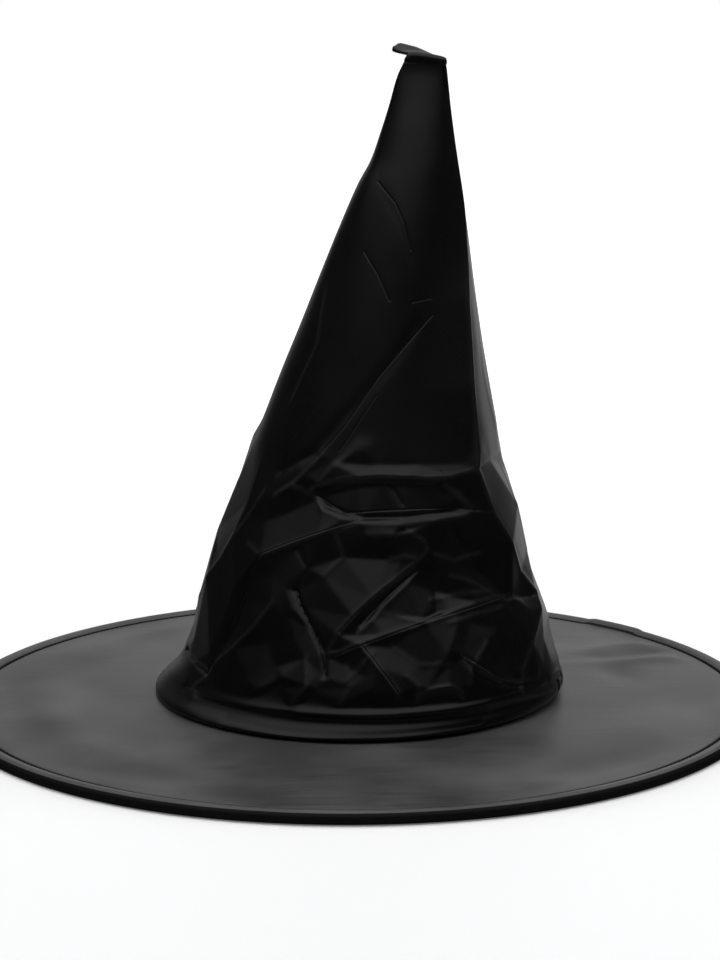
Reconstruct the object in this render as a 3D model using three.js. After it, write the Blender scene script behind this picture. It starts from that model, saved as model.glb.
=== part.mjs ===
// Witch hat: a tall leaning crown of thin taffeta on a round brim held open by a sprung hoop.
// Millimetres, +Z up. The origin is the middle of the brim on the surface that the hat stands on.
// +X is the side the crown leans to, -Y is the front, and the crown's seam runs up the back (+Y).

import * as THREE from "three";

// ---- driving dimensions -------------------------------------------------------------------

const CLOTH = 0.7; // brim cloth, as thick as its doubled and pressed edge
const GAP = 0.3; // clearance between pieces that touch

const BRIM_RADIUS = 190;
const RIM_RING_WIDTH = 3; // flat ring under the rim, which the hat stands on
const STITCH_INSET = 13.5; // from the rim in to the row of stitches that closes the hoop's channel
const STITCH_TOP_Z = 4.3; // top of the brim at that row of stitches
const BRIM_INNER_TOP_Z = 8.2; // top of the brim at the head opening
const CHANNEL_SHOULDER = 4.5; // flat top of the channel, from the rim inward
const INTERLINING = 0.6; // stiffener between the two brim cloths

const HOOP_HEIGHT = 3; // sprung strip, standing on edge
const HOOP_THICKNESS = 1;
const SLEEVE_WALL = 0.5;
const SLEEVE_LENGTH = 31;
const SLEEVE_ANGLE = 43; // degrees round the rim from +X
const HOOP_END_GAP = 2; // between the hoop's two ends, inside the sleeve

const HEAD_RADIUS = 94.5; // head opening, at the seam of crown and brim
const SEAM_ALLOWANCE = 1.6; // how far the brim cloth runs in past that seam
const CROWN_WALL = 1.2;
const CROWN_RISE = 294.8; // from the seam to the fold at the top
const TOP_HALF_WIDTH = 9.6; // half the width of the flattened top
const TOP_HALF_DEPTH = 3;
const TOP_LEAN = 32.3; // how far the top stands to +X of the middle
const LEAN_CURVE = 1.3; // power that makes the crown lean more towards its top
const BASE_SLUMP = 5; // how far the lower crown slumps to +X
const SLUMP_SPAN = 0.3; // share of the crown's rise that slumps
const WAIST = 2.6; // how far the crown draws in half way up
const FLARE = 2.2; // roll of the crown's foot over its seam
const FLARE_RISE = 13; // height of that roll
const FLATTEN_RISE = 60; // length below the top in which the crown goes from round to flat
const TOP_SOLID = 16; // length below the top in which the flattened layers lie on each other

const CREASE_PROUD = 0.055; // pressed edge on the right front, as a share of the local radius
const CREASE_HALF_ANGLE = 30; // degrees each side in which the edge fades away
const CREASE_ANGLE_ENDS = -15; // degrees round from +X at the crown's foot and top
const CREASE_ANGLE_MIDDLE = -27; // how much further forward the edge is half way up

const FOLD_RISE = 98; // from the seam to the pressed fold across the crown
const FOLD_BELOW = 21; // cloth that gives way, below and above that fold
const FOLD_ABOVE = 34;

const BAND_THICKNESS = 0.9; // ribbon inside the head opening
const BAND_FOOT = 1.6; // ribbon's lower edge above the seam
const BAND_HEIGHT = 21;
const TAPE_WIDTH = 10; // pressed-open allowance of the back seam
const TAPE_THICKNESS = 0.8;
const TAPE_ANGLE = 90; // degrees round from +X

const TIP_LENGTH = 20; // folded-over end, square to the fold
const TIP_SKEW = -13.3; // its end lies this far to the side of the fold's middle
const TIP_THICKNESS = 2;
const TIP_END_WIDTH = 4;
const TIP_CLEARANCE = 2.8; // from the fold line to the folded end's own solid
const TIP_ELEVATION = 19; // degrees above level, towards the back
const TIP_FOLD_DROP = 1.5; // fold line below the crown's highest line
const TIP_FOLD_BACK = 2.5; // fold line behind the crown's middle

const BRIM_SEGMENTS = 80;
const CROWN_SEGMENTS = 48;
const WALL_STEP = 18; // tallest step in a crown wall
const FLARE_STEPS = [0, 0.25, 0.5]; // bends in the rolled foot, as shares of its height

// ---- materials ----------------------------------------------------------------------------

const taffeta = () => new THREE.MeshStandardMaterial({ color: 0x17171a, roughness: 0.42, metalness: 0 });
const brimCloth = () => new THREE.MeshStandardMaterial({ color: 0x232326, roughness: 0.5, metalness: 0 });
const stiffener = () => new THREE.MeshStandardMaterial({ color: 0x3a3a3c, roughness: 0.9, metalness: 0 });
const plastic = () => new THREE.MeshStandardMaterial({ color: 0xd8d8d2, roughness: 0.4, metalness: 0 });
const sleeveTube = () => new THREE.MeshStandardMaterial({ color: 0xb9bcc0, roughness: 0.35, metalness: 0 });
const ribbon = () => new THREE.MeshStandardMaterial({ color: 0x1b1b1d, roughness: 0.7, metalness: 0 });

// ---- small helpers ------------------------------------------------------------------------

const hat = new THREE.Group();
const degrees = (angle) => (angle * Math.PI) / 180;
const between = (low, high, share) => low + (high - low) * share;
const smooth = (share) => THREE.MathUtils.smoothstep(share, 0, 1);

function addPiece(name, geometry, material) {
  const mesh = new THREE.Mesh(geometry, material);
  mesh.name = name;
  hat.add(mesh);
}

// Turns a closed outline of [radius, height] points about the Z axis.
function turned(outline, segments) {
  const points = outline.map(([radius, height]) => new THREE.Vector2(radius, height));
  const geometry = new THREE.LatheGeometry(points, segments);
  geometry.rotateX(Math.PI / 2);
  return geometry;
}

// Moves every vertex to where place([x, y, z]) puts it.
function reshaped(geometry, place) {
  const position = geometry.getAttribute("position");
  for (let i = 0; i < position.count; i += 1) {
    const moved = place(position.getX(i), position.getY(i), position.getZ(i));
    position.setXYZ(i, moved[0], moved[1], moved[2]);
  }
  geometry.computeVertexNormals();
  return geometry;
}

// ---- brim ---------------------------------------------------------------------------------

const STITCH_RADIUS = BRIM_RADIUS - STITCH_INSET;
const BRIM_INNER_RADIUS = HEAD_RADIUS - SEAM_ALLOWANCE;
const HOOP_FOOT_Z = CLOTH + GAP + SLEEVE_WALL + GAP;
const HOOP_TOP_Z = HOOP_FOOT_Z + HOOP_HEIGHT;
const RIM_TOP_Z = HOOP_TOP_Z + GAP + CLOTH;
const HOOP_OUTER_RADIUS = BRIM_RADIUS - CLOTH - GAP - SLEEVE_WALL - GAP;
const HOOP_INNER_RADIUS = HOOP_OUTER_RADIUS - HOOP_THICKNESS;
const SHOULDER_RADIUS = HOOP_INNER_RADIUS - GAP - SLEEVE_WALL - CHANNEL_SHOULDER / 3;
const BRIM_FALL = (BRIM_INNER_TOP_Z - STITCH_TOP_Z) / (STITCH_RADIUS - BRIM_INNER_RADIUS);

// Top face of the flat part of the brim, which rises gently towards the head opening.
const brimTop = (radius) => STITCH_TOP_Z + (STITCH_RADIUS - radius) * BRIM_FALL;

// The channel stands a little taller where the sleeve joins the hoop's ends.
const sleeveHalfAngle = SLEEVE_LENGTH / 2 / HOOP_OUTER_RADIUS;
const CHANNEL_LIFT = SLEEVE_WALL + GAP;
function channelLift(x, y, z) {
  const radius = Math.hypot(x, y);
  const turn = Math.abs(Math.atan2(y, x) - degrees(SLEEVE_ANGLE));
  const near = 1 - smooth((turn / sleeveHalfAngle - 1.3) / 0.9);
  const high = smooth((z - CLOTH * 2) / (RIM_TOP_Z - CLOTH * 4));
  const out = smooth((radius - STITCH_RADIUS) / (SHOULDER_RADIUS - STITCH_RADIUS));
  return [x, y, z + CHANNEL_LIFT * near * high * out];
}

function brimTopCloth() {
  const outline = [
    [BRIM_INNER_RADIUS, brimTop(BRIM_INNER_RADIUS) - CLOTH],
    [STITCH_RADIUS, STITCH_TOP_Z - CLOTH],
    [SHOULDER_RADIUS, RIM_TOP_Z - CLOTH],
    [BRIM_RADIUS - CLOTH, RIM_TOP_Z - CLOTH],
    [BRIM_RADIUS - CLOTH, CLOTH],
    [BRIM_RADIUS - RIM_RING_WIDTH, CLOTH],
    [BRIM_RADIUS - RIM_RING_WIDTH, 0],
    [BRIM_RADIUS - CLOTH / 2, 0],
    [BRIM_RADIUS, CLOTH / 2],
    [BRIM_RADIUS, RIM_TOP_Z - CLOTH],
    [BRIM_RADIUS - CLOTH, RIM_TOP_Z],
    [SHOULDER_RADIUS, RIM_TOP_Z],
    [STITCH_RADIUS, STITCH_TOP_Z],
    [BRIM_INNER_RADIUS, brimTop(BRIM_INNER_RADIUS)],
    [BRIM_INNER_RADIUS, brimTop(BRIM_INNER_RADIUS) - CLOTH],
  ];
  return reshaped(turned(outline, BRIM_SEGMENTS), channelLift);
}

// A flat ring that follows the brim, its top face lying below the brim's by depth.
function brimRing(innerRadius, outerRadius, depth, thickness) {
  const outline = [
    [innerRadius, brimTop(innerRadius) - depth - thickness],
    [outerRadius, brimTop(outerRadius) - depth - thickness],
    [outerRadius, brimTop(outerRadius) - depth],
    [innerRadius, brimTop(innerRadius) - depth],
    [innerRadius, brimTop(innerRadius) - depth - thickness],
  ];
  return turned(outline, BRIM_SEGMENTS);
}

const UNDER_DEPTH = CLOTH + GAP + INTERLINING + GAP;
function brimUnderCloth() {
  const rimEnd = BRIM_RADIUS - RIM_RING_WIDTH - GAP;
  const inner = BRIM_INNER_RADIUS;
  const outline = [
    [inner, brimTop(inner) - UNDER_DEPTH - CLOTH],
    [STITCH_RADIUS, STITCH_TOP_Z - UNDER_DEPTH - CLOTH],
    [rimEnd, 0],
    [rimEnd, CLOTH],
    [STITCH_RADIUS, STITCH_TOP_Z - UNDER_DEPTH],
    [inner, brimTop(inner) - UNDER_DEPTH],
    [inner, brimTop(inner) - UNDER_DEPTH - CLOTH],
  ];
  return turned(outline, BRIM_SEGMENTS);
}

// A strip of rectangular section bent round the rim between two angles, in radians.
function bentStrip(innerRadius, outerRadius, foot, height, start, end, segments) {
  const sector = new THREE.Shape();
  sector.absarc(0, 0, outerRadius, start, end, false);
  sector.absarc(0, 0, innerRadius, end, start, true);
  sector.closePath();
  const strip = new THREE.ExtrudeGeometry(sector, {
    depth: height,
    bevelEnabled: false,
    curveSegments: segments,
  });
  strip.translate(0, 0, foot);
  return strip;
}

function rimHoop() {
  const halfGap = HOOP_END_GAP / 2 / HOOP_OUTER_RADIUS;
  const start = degrees(SLEEVE_ANGLE) + halfGap;
  const end = degrees(SLEEVE_ANGLE) + 2 * Math.PI - halfGap;
  return bentStrip(
    HOOP_INNER_RADIUS, HOOP_OUTER_RADIUS, HOOP_FOOT_Z, HOOP_HEIGHT, start, end, BRIM_SEGMENTS,
  );
}

// The sleeve is a flat tube, open at both ends, that the hoop's two ends push into.
function hoopSleeve() {
  const slack = GAP + SLEEVE_WALL;
  const section = [
    [HOOP_INNER_RADIUS - slack, HOOP_FOOT_Z - slack, HOOP_OUTER_RADIUS + slack, HOOP_TOP_Z + slack],
    [HOOP_INNER_RADIUS - GAP, HOOP_FOOT_Z - GAP, HOOP_OUTER_RADIUS + GAP, HOOP_TOP_Z + GAP],
  ];
  const middle = (HOOP_INNER_RADIUS + HOOP_OUTER_RADIUS) / 2;
  const rectangle = (path, [low, foot, high, top]) => {
    path.moveTo(low, foot);
    path.lineTo(high, foot);
    path.lineTo(high, top);
    path.lineTo(low, top);
    path.closePath();
    return path;
  };
  const outside = rectangle(new THREE.Shape(), section[0]);
  outside.holes.push(rectangle(new THREE.Path(), section[1]));
  const tube = new THREE.ExtrudeGeometry(outside, { depth: SLEEVE_LENGTH, steps: 8, bevelEnabled: false });
  const first = degrees(SLEEVE_ANGLE) + sleeveHalfAngle;
  return reshaped(tube, (radius, height, along) => {
    const turn = first - along / middle;
    return [radius * Math.cos(turn), radius * Math.sin(turn), height];
  });
}

// ---- crown --------------------------------------------------------------------------------

const SEAM_Z = brimTop(HEAD_RADIUS) + GAP;
const CROWN_TOP_Z = SEAM_Z + CROWN_RISE;
const FOLD_Z = SEAM_Z + FOLD_RISE;
const LOWER_TOP_Z = FOLD_Z - FOLD_BELOW;
const UPPER_FOOT_Z = FOLD_Z + FOLD_ABOVE;
const share = (z) => THREE.MathUtils.clamp((z - SEAM_Z) / CROWN_RISE, 0, 1);

// Heights at which the faces of every crown piece may bend, so that the pieces nest.
const bodyFoot = SEAM_Z + FLARE_RISE;
const bodySteps = Math.ceil((CROWN_TOP_Z - bodyFoot) / WALL_STEP);
const CROWN_LEVELS = [
  ...FLARE_STEPS.map((part) => SEAM_Z + FLARE_RISE * part),
  ...Array.from({ length: bodySteps + 1 }, (unused, i) => between(bodyFoot, CROWN_TOP_Z, i / bodySteps)),
];

// Makes a function of height run straight between those heights.
const betweenLevels = (shape) => (height, angle) => {
  const z = THREE.MathUtils.clamp(height, SEAM_Z, CROWN_TOP_Z);
  const next = Math.max(1, CROWN_LEVELS.findIndex((level) => level >= z));
  const low = CROWN_LEVELS[next - 1];
  const high = CROWN_LEVELS[next];
  return between(shape(low, angle), shape(high, angle), (z - low) / (high - low));
};

// The heights of a piece: its own ends and every level between them.
const levelsOf = (low, high) => [low, ...CROWN_LEVELS.filter((z) => z > low + 1 && z < high - 1), high];

// Radius of the crown's outer face before it leans, with the rolled foot over the seam.
const crownRadius = betweenLevels((z) => {
  const straight = between(HEAD_RADIUS, TOP_HALF_WIDTH, share(z));
  const roll = Math.sin(Math.PI * Math.min(1, (z - SEAM_Z) / FLARE_RISE));
  return straight - WAIST * Math.sin(Math.PI * share(z)) + FLARE * roll;
});

const crownMiddle = betweenLevels((z) => {
  const slump = Math.sin(Math.PI * Math.min(1, share(z) / SLUMP_SPAN));
  return TOP_LEAN * share(z) ** LEAN_CURVE + BASE_SLUMP * slump;
});

// Depth over width: 1 on the round part, less where the top is pressed flat.
const flatness = betweenLevels((z) => {
  const pressed = smooth((z - (CROWN_TOP_Z - FLATTEN_RISE)) / FLATTEN_RISE);
  return between(1, TOP_HALF_DEPTH / TOP_HALF_WIDTH, pressed);
});

// The pressed edge stands proud of the round section and fades out on both sides.
const creaseFactor = betweenLevels((z, angle) => {
  const bow = Math.sin(Math.PI * share(z));
  const edge = degrees(CREASE_ANGLE_ENDS + CREASE_ANGLE_MIDDLE * bow);
  const away = Math.abs(angle - edge) / degrees(CREASE_HALF_ANGLE);
  return 1 + CREASE_PROUD * bow * Math.max(0, 1 - away);
});

// Takes a point of the straight round crown to its place on the leaning, creased one.
function leaned(x, y, z) {
  const factor = creaseFactor(z, Math.atan2(y, x));
  return [crownMiddle(z) + x * factor, y * factor * flatness(z), z];
}

// A wall of the crown between two heights, its outer face inset from the crown's by a distance.
function crownWall(low, high, inset, thickness) {
  const levels = levelsOf(low, high);
  const outer = levels.map((z) => [crownRadius(z) - inset, z]);
  const inner = levels.map((z) => [crownRadius(z) - inset - thickness, z]).reverse();
  return reshaped(turned([...outer, ...inner, outer[0]], CROWN_SEGMENTS), leaned);
}

// The upper crown is closed at its top, where its layers lie flat on each other.
function crownUpper() {
  const solidFoot = CROWN_TOP_Z - TOP_SOLID;
  const outer = levelsOf(UPPER_FOOT_Z, CROWN_TOP_Z).map((z) => [crownRadius(z), z]);
  const hollow = levelsOf(UPPER_FOOT_Z, solidFoot).slice(0, -1);
  const inner = hollow.map((z) => [crownRadius(z) - CROWN_WALL, z]).reverse();
  const outline = [[0, solidFoot], ...inner, ...outer, [0, CROWN_TOP_Z]];
  return reshaped(turned(outline, CROWN_SEGMENTS), leaned);
}

// A strip of the back seam's allowance, lying against the inside of the crown's wall.
function seamTape(low, high) {
  const inset = CROWN_WALL + GAP;
  const levels = levelsOf(low, high);
  const rows = levels.length - 1;
  const strip = new THREE.BoxGeometry(TAPE_WIDTH, TAPE_THICKNESS, rows, 3, 1, rows);
  strip.translate(0, -TAPE_THICKNESS / 2, rows / 2);
  return reshaped(strip, (across, depth, row) => {
    const z = levels[Math.round(row)];
    const radius = crownRadius(z) - inset + depth;
    const turn = degrees(TAPE_ANGLE) - across / radius;
    return leaned(radius * Math.cos(turn), radius * Math.sin(turn), z);
  });
}

// The crown's end, pressed flat, folded to the back and skewed to the left.
function crownTip() {
  const root = TOP_HALF_WIDTH - TIP_CLEARANCE / 4;
  const outline = new THREE.Shape();
  outline.moveTo(-root - TIP_CLEARANCE / 2, TIP_CLEARANCE);
  outline.lineTo(root, TIP_CLEARANCE);
  outline.lineTo(TIP_SKEW + TIP_END_WIDTH, TIP_LENGTH);
  outline.quadraticCurveTo(TIP_SKEW + TIP_END_WIDTH / 2, TIP_LENGTH + 1, TIP_SKEW, TIP_LENGTH - 1);
  outline.closePath();
  const flap = new THREE.ExtrudeGeometry(outline, {
    depth: TIP_THICKNESS,
    bevelEnabled: false,
    curveSegments: 6,
  });
  flap.translate(0, 0, -TIP_THICKNESS / 2);
  flap.rotateX(degrees(TIP_ELEVATION));
  flap.translate(crownMiddle(CROWN_TOP_Z), TIP_FOLD_BACK, CROWN_TOP_Z - TIP_FOLD_DROP);
  return flap;
}

// ---- assembly -----------------------------------------------------------------------------

const bandFoot = SEAM_Z + BAND_FOOT;
const bandTop = bandFoot + BAND_HEIGHT;
const interliningEnd = STITCH_RADIUS - GAP;
const insideWall = CROWN_WALL + GAP;

addPiece("brim_top_cloth", brimTopCloth(), brimCloth());
addPiece(
  "brim_interlining",
  brimRing(BRIM_INNER_RADIUS, interliningEnd, CLOTH + GAP, INTERLINING),
  stiffener(),
);
addPiece("brim_under_cloth", brimUnderCloth(), brimCloth());
addPiece("rim_hoop", rimHoop(), plastic());
addPiece("hoop_sleeve", hoopSleeve(), sleeveTube());
addPiece("head_ribbon", crownWall(bandFoot, bandTop, insideWall, BAND_THICKNESS), ribbon());
addPiece("crown_lower", crownWall(SEAM_Z, LOWER_TOP_Z, 0, CROWN_WALL), taffeta());
addPiece("crown_fold_zone", crownWall(LOWER_TOP_Z + GAP, UPPER_FOOT_Z - GAP, 0, CROWN_WALL), taffeta());
addPiece("crown_upper", crownUpper(), taffeta());
addPiece("crown_tip", crownTip(), taffeta());
addPiece("back_seam_lower", seamTape(bandTop + GAP, LOWER_TOP_Z - GAP), ribbon());
addPiece("back_seam_fold", seamTape(LOWER_TOP_Z + GAP, UPPER_FOOT_Z - GAP), ribbon());
addPiece("back_seam_upper", seamTape(UPPER_FOOT_Z + GAP, CROWN_TOP_Z - FLATTEN_RISE), ribbon());

export default hat;
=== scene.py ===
"""A pointed witch's hat of creased black taffeta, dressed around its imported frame.

All sizes are in millimetres and all bearings in degrees: bearing 0 is the front of the hat
(towards -Y), +90 is its right-hand side (towards +X) and 180 is the back seam. What is in
other units says so.
"""

from __future__ import annotations

import functools
import logging
import math
import random
from dataclasses import dataclass, field
from enum import Enum
from typing import Any

import bpy
import numpy as np
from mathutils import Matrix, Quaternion, Vector
from mathutils.geometry import delaunay_2d_cdt

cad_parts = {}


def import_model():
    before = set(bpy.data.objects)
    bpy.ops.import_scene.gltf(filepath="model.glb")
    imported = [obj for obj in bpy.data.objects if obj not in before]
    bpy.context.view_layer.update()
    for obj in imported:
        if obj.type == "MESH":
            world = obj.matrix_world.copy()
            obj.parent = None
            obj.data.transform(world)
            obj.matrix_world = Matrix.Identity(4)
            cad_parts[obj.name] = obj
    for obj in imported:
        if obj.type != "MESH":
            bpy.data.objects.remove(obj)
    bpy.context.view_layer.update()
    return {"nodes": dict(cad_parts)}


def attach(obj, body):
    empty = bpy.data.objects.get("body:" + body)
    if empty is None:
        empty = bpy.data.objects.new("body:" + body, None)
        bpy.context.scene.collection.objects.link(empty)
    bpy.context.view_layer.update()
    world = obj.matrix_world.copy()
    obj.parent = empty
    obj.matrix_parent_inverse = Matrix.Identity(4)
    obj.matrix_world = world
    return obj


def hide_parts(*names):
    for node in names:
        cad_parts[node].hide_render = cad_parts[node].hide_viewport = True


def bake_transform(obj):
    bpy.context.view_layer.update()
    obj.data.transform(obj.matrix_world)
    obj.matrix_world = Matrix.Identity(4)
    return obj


LOG = logging.getLogger("witch_hat")
MM = 0.001
CUT_MAP = "cut"
CUT_APEX = 315.0
CUT_SLANT = 1.07
CUT_TURN = 0.285
WEAR_LAYER = "fold"
FAR = 99.0
TINY = 1e-9

Points = tuple[tuple[float, ...], ...]
Colour = tuple[float, float, float]
Triple = tuple[float, float, float]
Pair = tuple[float, float]
Limits = tuple[float, float, float, float]


class Body(Enum):
    """The hat's moving bodies, by their names in the frame."""

    LOWER = "brim_and_lower_crown"
    UPPER = "upper_crown"
    TIP = "folded_tip"


class Slot(Enum):
    """The material slots that the pieces take their finish from."""

    BRIM = "brim_cloth"
    CROWN = "crown_cloth"
    STIFFENER = "interlining"
    RIBBON = "ribbon"


# ---------------------------------------------------------------- node building


class Sock:
    """A node's output that can stand in plain arithmetic."""

    def __init__(self, graph: Graph, socket: bpy.types.NodeSocket) -> None:
        """Keeps the output socket and the graph that it belongs to."""
        self.graph = graph
        self.socket = socket

    def __add__(self, other: Sock | float) -> Sock:
        """self + other."""
        return self.graph.math("ADD", self, other)

    __radd__ = __add__

    def __sub__(self, other: Sock | float) -> Sock:
        """self - other."""
        return self.graph.math("SUBTRACT", self, other)

    def __rsub__(self, other: Sock | float) -> Sock:
        """other - self."""
        return self.graph.math("SUBTRACT", other, self)

    def __mul__(self, other: Sock | float) -> Sock:
        """self * other."""
        return self.graph.math("MULTIPLY", self, other)

    __rmul__ = __mul__

    def __truediv__(self, other: Sock | float) -> Sock:
        """self / other."""
        return self.graph.math("DIVIDE", self, other)

    def __rtruediv__(self, other: Sock | float) -> Sock:
        """other / self."""
        return self.graph.math("DIVIDE", other, self)

    def __pow__(self, other: Sock | float) -> Sock:
        """self ** other."""
        return self.graph.math("POWER", self, other)

    def __neg__(self) -> Sock:
        """-self."""
        return self.graph.math("MULTIPLY", self, -1.0)

    def sin(self) -> Sock:
        """The sine of self, in radians."""
        return self.graph.math("SINE", self)

    def cos(self) -> Sock:
        """The cosine of self, in radians."""
        return self.graph.math("COSINE", self)

    def exp(self) -> Sock:
        """e to the power of self."""
        return self.graph.math("EXPONENT", self)

    def size(self) -> Sock:
        """self without its sign."""
        return self.graph.math("ABSOLUTE", self)

    def above(self, other: Sock | float) -> Sock:
        """1 where self is above other, and 0 elsewhere."""
        return self.graph.math("GREATER_THAN", self, other)

    def clamp(self, low: float = 0.0, high: float = 1.0) -> Sock:
        """self held between low and high."""
        return self.graph.math("MINIMUM", self.graph.math("MAXIMUM", self, low), high)

    def ribs(self, pitch: float) -> Sock:
        """An even wave along self, from 0 to 1, with its pitch in mm."""
        return (self * (2 * math.pi / (pitch * MM))).sin() * 0.5 + 0.5

    def smooth(self, start: Sock | float, end: Sock | float) -> Sock:
        """0 where self is at start, 1 where it is at end, and an even curve between.

        Args:
            start: the value that gives 0.
            end: the value that gives 1.

        Returns:
            The eased share.
        """
        node = self.graph.add(
            "ShaderNodeMapRange",
            {"interpolation_type": "SMOOTHSTEP"},
            {"Value": self, "From Min": start, "From Max": end},
        )
        return self.graph.out(node, "Result")


class Graph:
    """Adds nodes to one node tree, for shaders and for geometry alike."""

    def __init__(self, tree: bpy.types.NodeTree) -> None:
        """Keeps the tree that the nodes go into."""
        self.tree = tree

    def add(
        self,
        kind: str,
        settings: dict[str, Any] | None = None,
        sockets: dict[str | int, Any] | None = None,
    ) -> bpy.types.Node:
        """Adds a node, sets its settings and then its sockets.

        Args:
            kind: the node's type name.
            settings: the node's own properties, such as a Math node's operation.
            sockets: the value or the link of each input, by its name or number.

        Returns:
            The new node.
        """
        node = self.tree.nodes.new(kind)
        for name, value in (settings or {}).items():
            setattr(node, name, value)
        for key, value in (sockets or {}).items():
            if isinstance(value, Sock):
                self.tree.links.new(value.socket, node.inputs[key])
            else:
                node.inputs[key].default_value = value
        return node

    def out(self, node: bpy.types.Node, key: str | int = 0) -> Sock:
        """The node's output of that name or number."""
        return Sock(self, node.outputs[key])

    def math(self, operation: str, *values: Sock | float) -> Sock:
        """Adds one Math node.

        Args:
            operation: the node's operation.
            values: its inputs, in order.

        Returns:
            The node's result.
        """
        node = self.add("ShaderNodeMath", {"operation": operation}, dict(enumerate(values)))
        return self.out(node)

    def noise(self, vector: Sock, scale: float, detail: float = 2.0, rough: float = 0.5) -> Sock:
        """Cloudy noise between 0 and 1.

        Args:
            vector: where it is read.
            scale: its waves per metre.
            detail: how many finer layers it has.
            rough: how strong the finer layers are.

        Returns:
            The noise value.
        """
        node = self.add(
            "ShaderNodeTexNoise",
            {"noise_dimensions": "3D"},
            {"Vector": vector, "Scale": scale, "Detail": detail, "Roughness": rough},
        )
        return self.out(node, 0)

    def stretched(self, vector: Sock, scale: Triple) -> Sock:
        """The vector with each of its directions scaled by its own number."""
        node = self.add("ShaderNodeVectorMath", {"operation": "MULTIPLY"}, {0: vector, 1: scale})
        return self.out(node)

    def mix(self, share: Sock, a: tuple[float, ...], b: tuple[float, ...]) -> Sock:
        """Mixes two colours.

        Args:
            share: 0 gives a, 1 gives b.
            a: the first colour.
            b: the second colour.

        Returns:
            The mixed colour.
        """
        colours = {0: share, 6: (*a[:3], 1.0), 7: (*b[:3], 1.0)}
        node = self.add("ShaderNodeMix", {"data_type": "RGBA"}, colours)
        return self.out(node, 2)

    def place(self, on_cut: bool = False) -> Sock:
        """The place on the piece, or where that place lay on the flat cut.

        Args:
            on_cut: whether the pattern follows the flat cut.

        Returns:
            The place.
        """
        if on_cut:
            return self.out(self.add("ShaderNodeUVMap", {"uv_map": CUT_MAP}))
        return self.out(self.add("ShaderNodeTexCoord"), "Object")

    def largest(self, values: list[Sock]) -> Sock:
        """The largest of some values."""
        return functools.reduce(lambda a, b: self.math("MAXIMUM", a, b), values)

    def parts(self, vector: Sock) -> tuple[Sock, Sock, Sock]:
        """The vector's three parts."""
        node = self.add("ShaderNodeSeparateXYZ", None, {0: vector})
        return self.out(node, 0), self.out(node, 1), self.out(node, 2)

    def vector(self, x: Sock | float, y: Sock | float, z: Sock | float) -> Sock:
        """A vector from its three parts."""
        return self.out(self.add("ShaderNodeCombineXYZ", None, {0: x, 1: y, 2: z}))


# ---------------------------------------------------------------- finishes


@dataclass(frozen=True)
class Finish:
    """What every finish has: a name, a colour, and how rough and how shiny it is."""

    name: str
    colour: Colour
    roughness: float = 0.5
    gloss: float = 0.5

    def material(self) -> bpy.types.Material:
        """The finish as a material, made the first time that it is asked for.

        Returns:
            The material.
        """
        found = bpy.data.materials.get(self.name)
        if found:
            return found
        material = bpy.data.materials.new(self.name)
        material.use_nodes = True
        graph = Graph(material.node_tree)
        shader = material.node_tree.nodes["Principled BSDF"]
        shader.inputs["Specular IOR Level"].default_value = self.gloss
        self.paint(graph, shader)
        return material

    def paint(self, graph: Graph, shader: bpy.types.Node) -> None:
        """Links the finish's colour, roughness and relief to the shader.

        Args:
            graph: the material's graph.
            shader: its shader node.
        """
        raise NotImplementedError

    def paler(self, times: float) -> Colour:
        """The finish's colour, made that many times paler."""
        return tuple(min(1.0, times * part) for part in self.colour)

    @staticmethod
    def feed(
        graph: Graph,
        shader: bpy.types.Node,
        colour: Sock,
        roughness: Sock,
        relief: Sock,
        depth: float,
    ) -> None:
        """Links a worked-out look to the shader.

        Args:
            graph: the material's graph.
            shader: its shader node.
            colour: the base colour.
            roughness: the roughness.
            relief: the height of the surface's fine relief, from 0 to 1.
            depth: how high that relief stands, in metres.
        """
        bump = graph.add(
            "ShaderNodeBump", None, {"Strength": 1.0, "Distance": depth, "Height": relief}
        )
        links = graph.tree.links
        links.new(colour.socket, shader.inputs["Base Color"])
        links.new(roughness.socket, shader.inputs["Roughness"])
        links.new(bump.outputs[0], shader.inputs["Normal"])


def cut_spot(bearing: float, height: float) -> Pair:
    """Where a spot of the crown lay on the flat cut, in metres.

    The cut is a sector. CUT_APEX is the height of the cone's point in mm, CUT_SLANT is the
    slant for each mm of height, and CUT_TURN is the sector's turn for each turn of the hat.

    Args:
        bearing: its bearing from the back seam, in degrees.
        height: its height in mm.

    Returns:
        Its two places on the cut.
    """
    slant = (CUT_APEX - height) * CUT_SLANT * MM
    turn = math.radians(bearing) * CUT_TURN
    return slant * math.sin(turn), -slant * math.cos(turn)


@dataclass(frozen=True)
class FineCrease:
    """A hair-thin crease of the crown, through (bearing, height) points, sizes in mm."""

    points: Points
    depth: float = 0.16
    width: float = 0.42

    def relief(self, graph: Graph, place: Sock) -> Sock:
        """Draws the crease.

        Args:
            graph: the material's graph.
            place: the place on the flat cut.

        Returns:
            How deep the crease is there, in mm.
        """
        spots = [cut_spot(bearing - 180.0, height) for bearing, height in self.points]
        shares = []
        for (x0, y0), (x1, y1) in zip(spots[:-1], spots[1:]):
            middle = ((x0 + x1) / 2, (y0 + y1) / 2, 0.0)
            turn = (0.0, 0.0, math.atan2(y1 - y0, x1 - x0))
            own = graph.add(
                "ShaderNodeMapping",
                {"vector_type": "TEXTURE"},
                {"Vector": place, "Location": middle, "Rotation": turn},
            )
            along, across, _ = graph.parts(graph.out(own))
            past = (along.size() - math.hypot(x1 - x0, y1 - y0) / 2).clamp(0.0, 1.0)
            shares.append((-(across * across + past * past) / (self.width * MM) ** 2).exp())
        return graph.largest(shares) * self.depth


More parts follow.
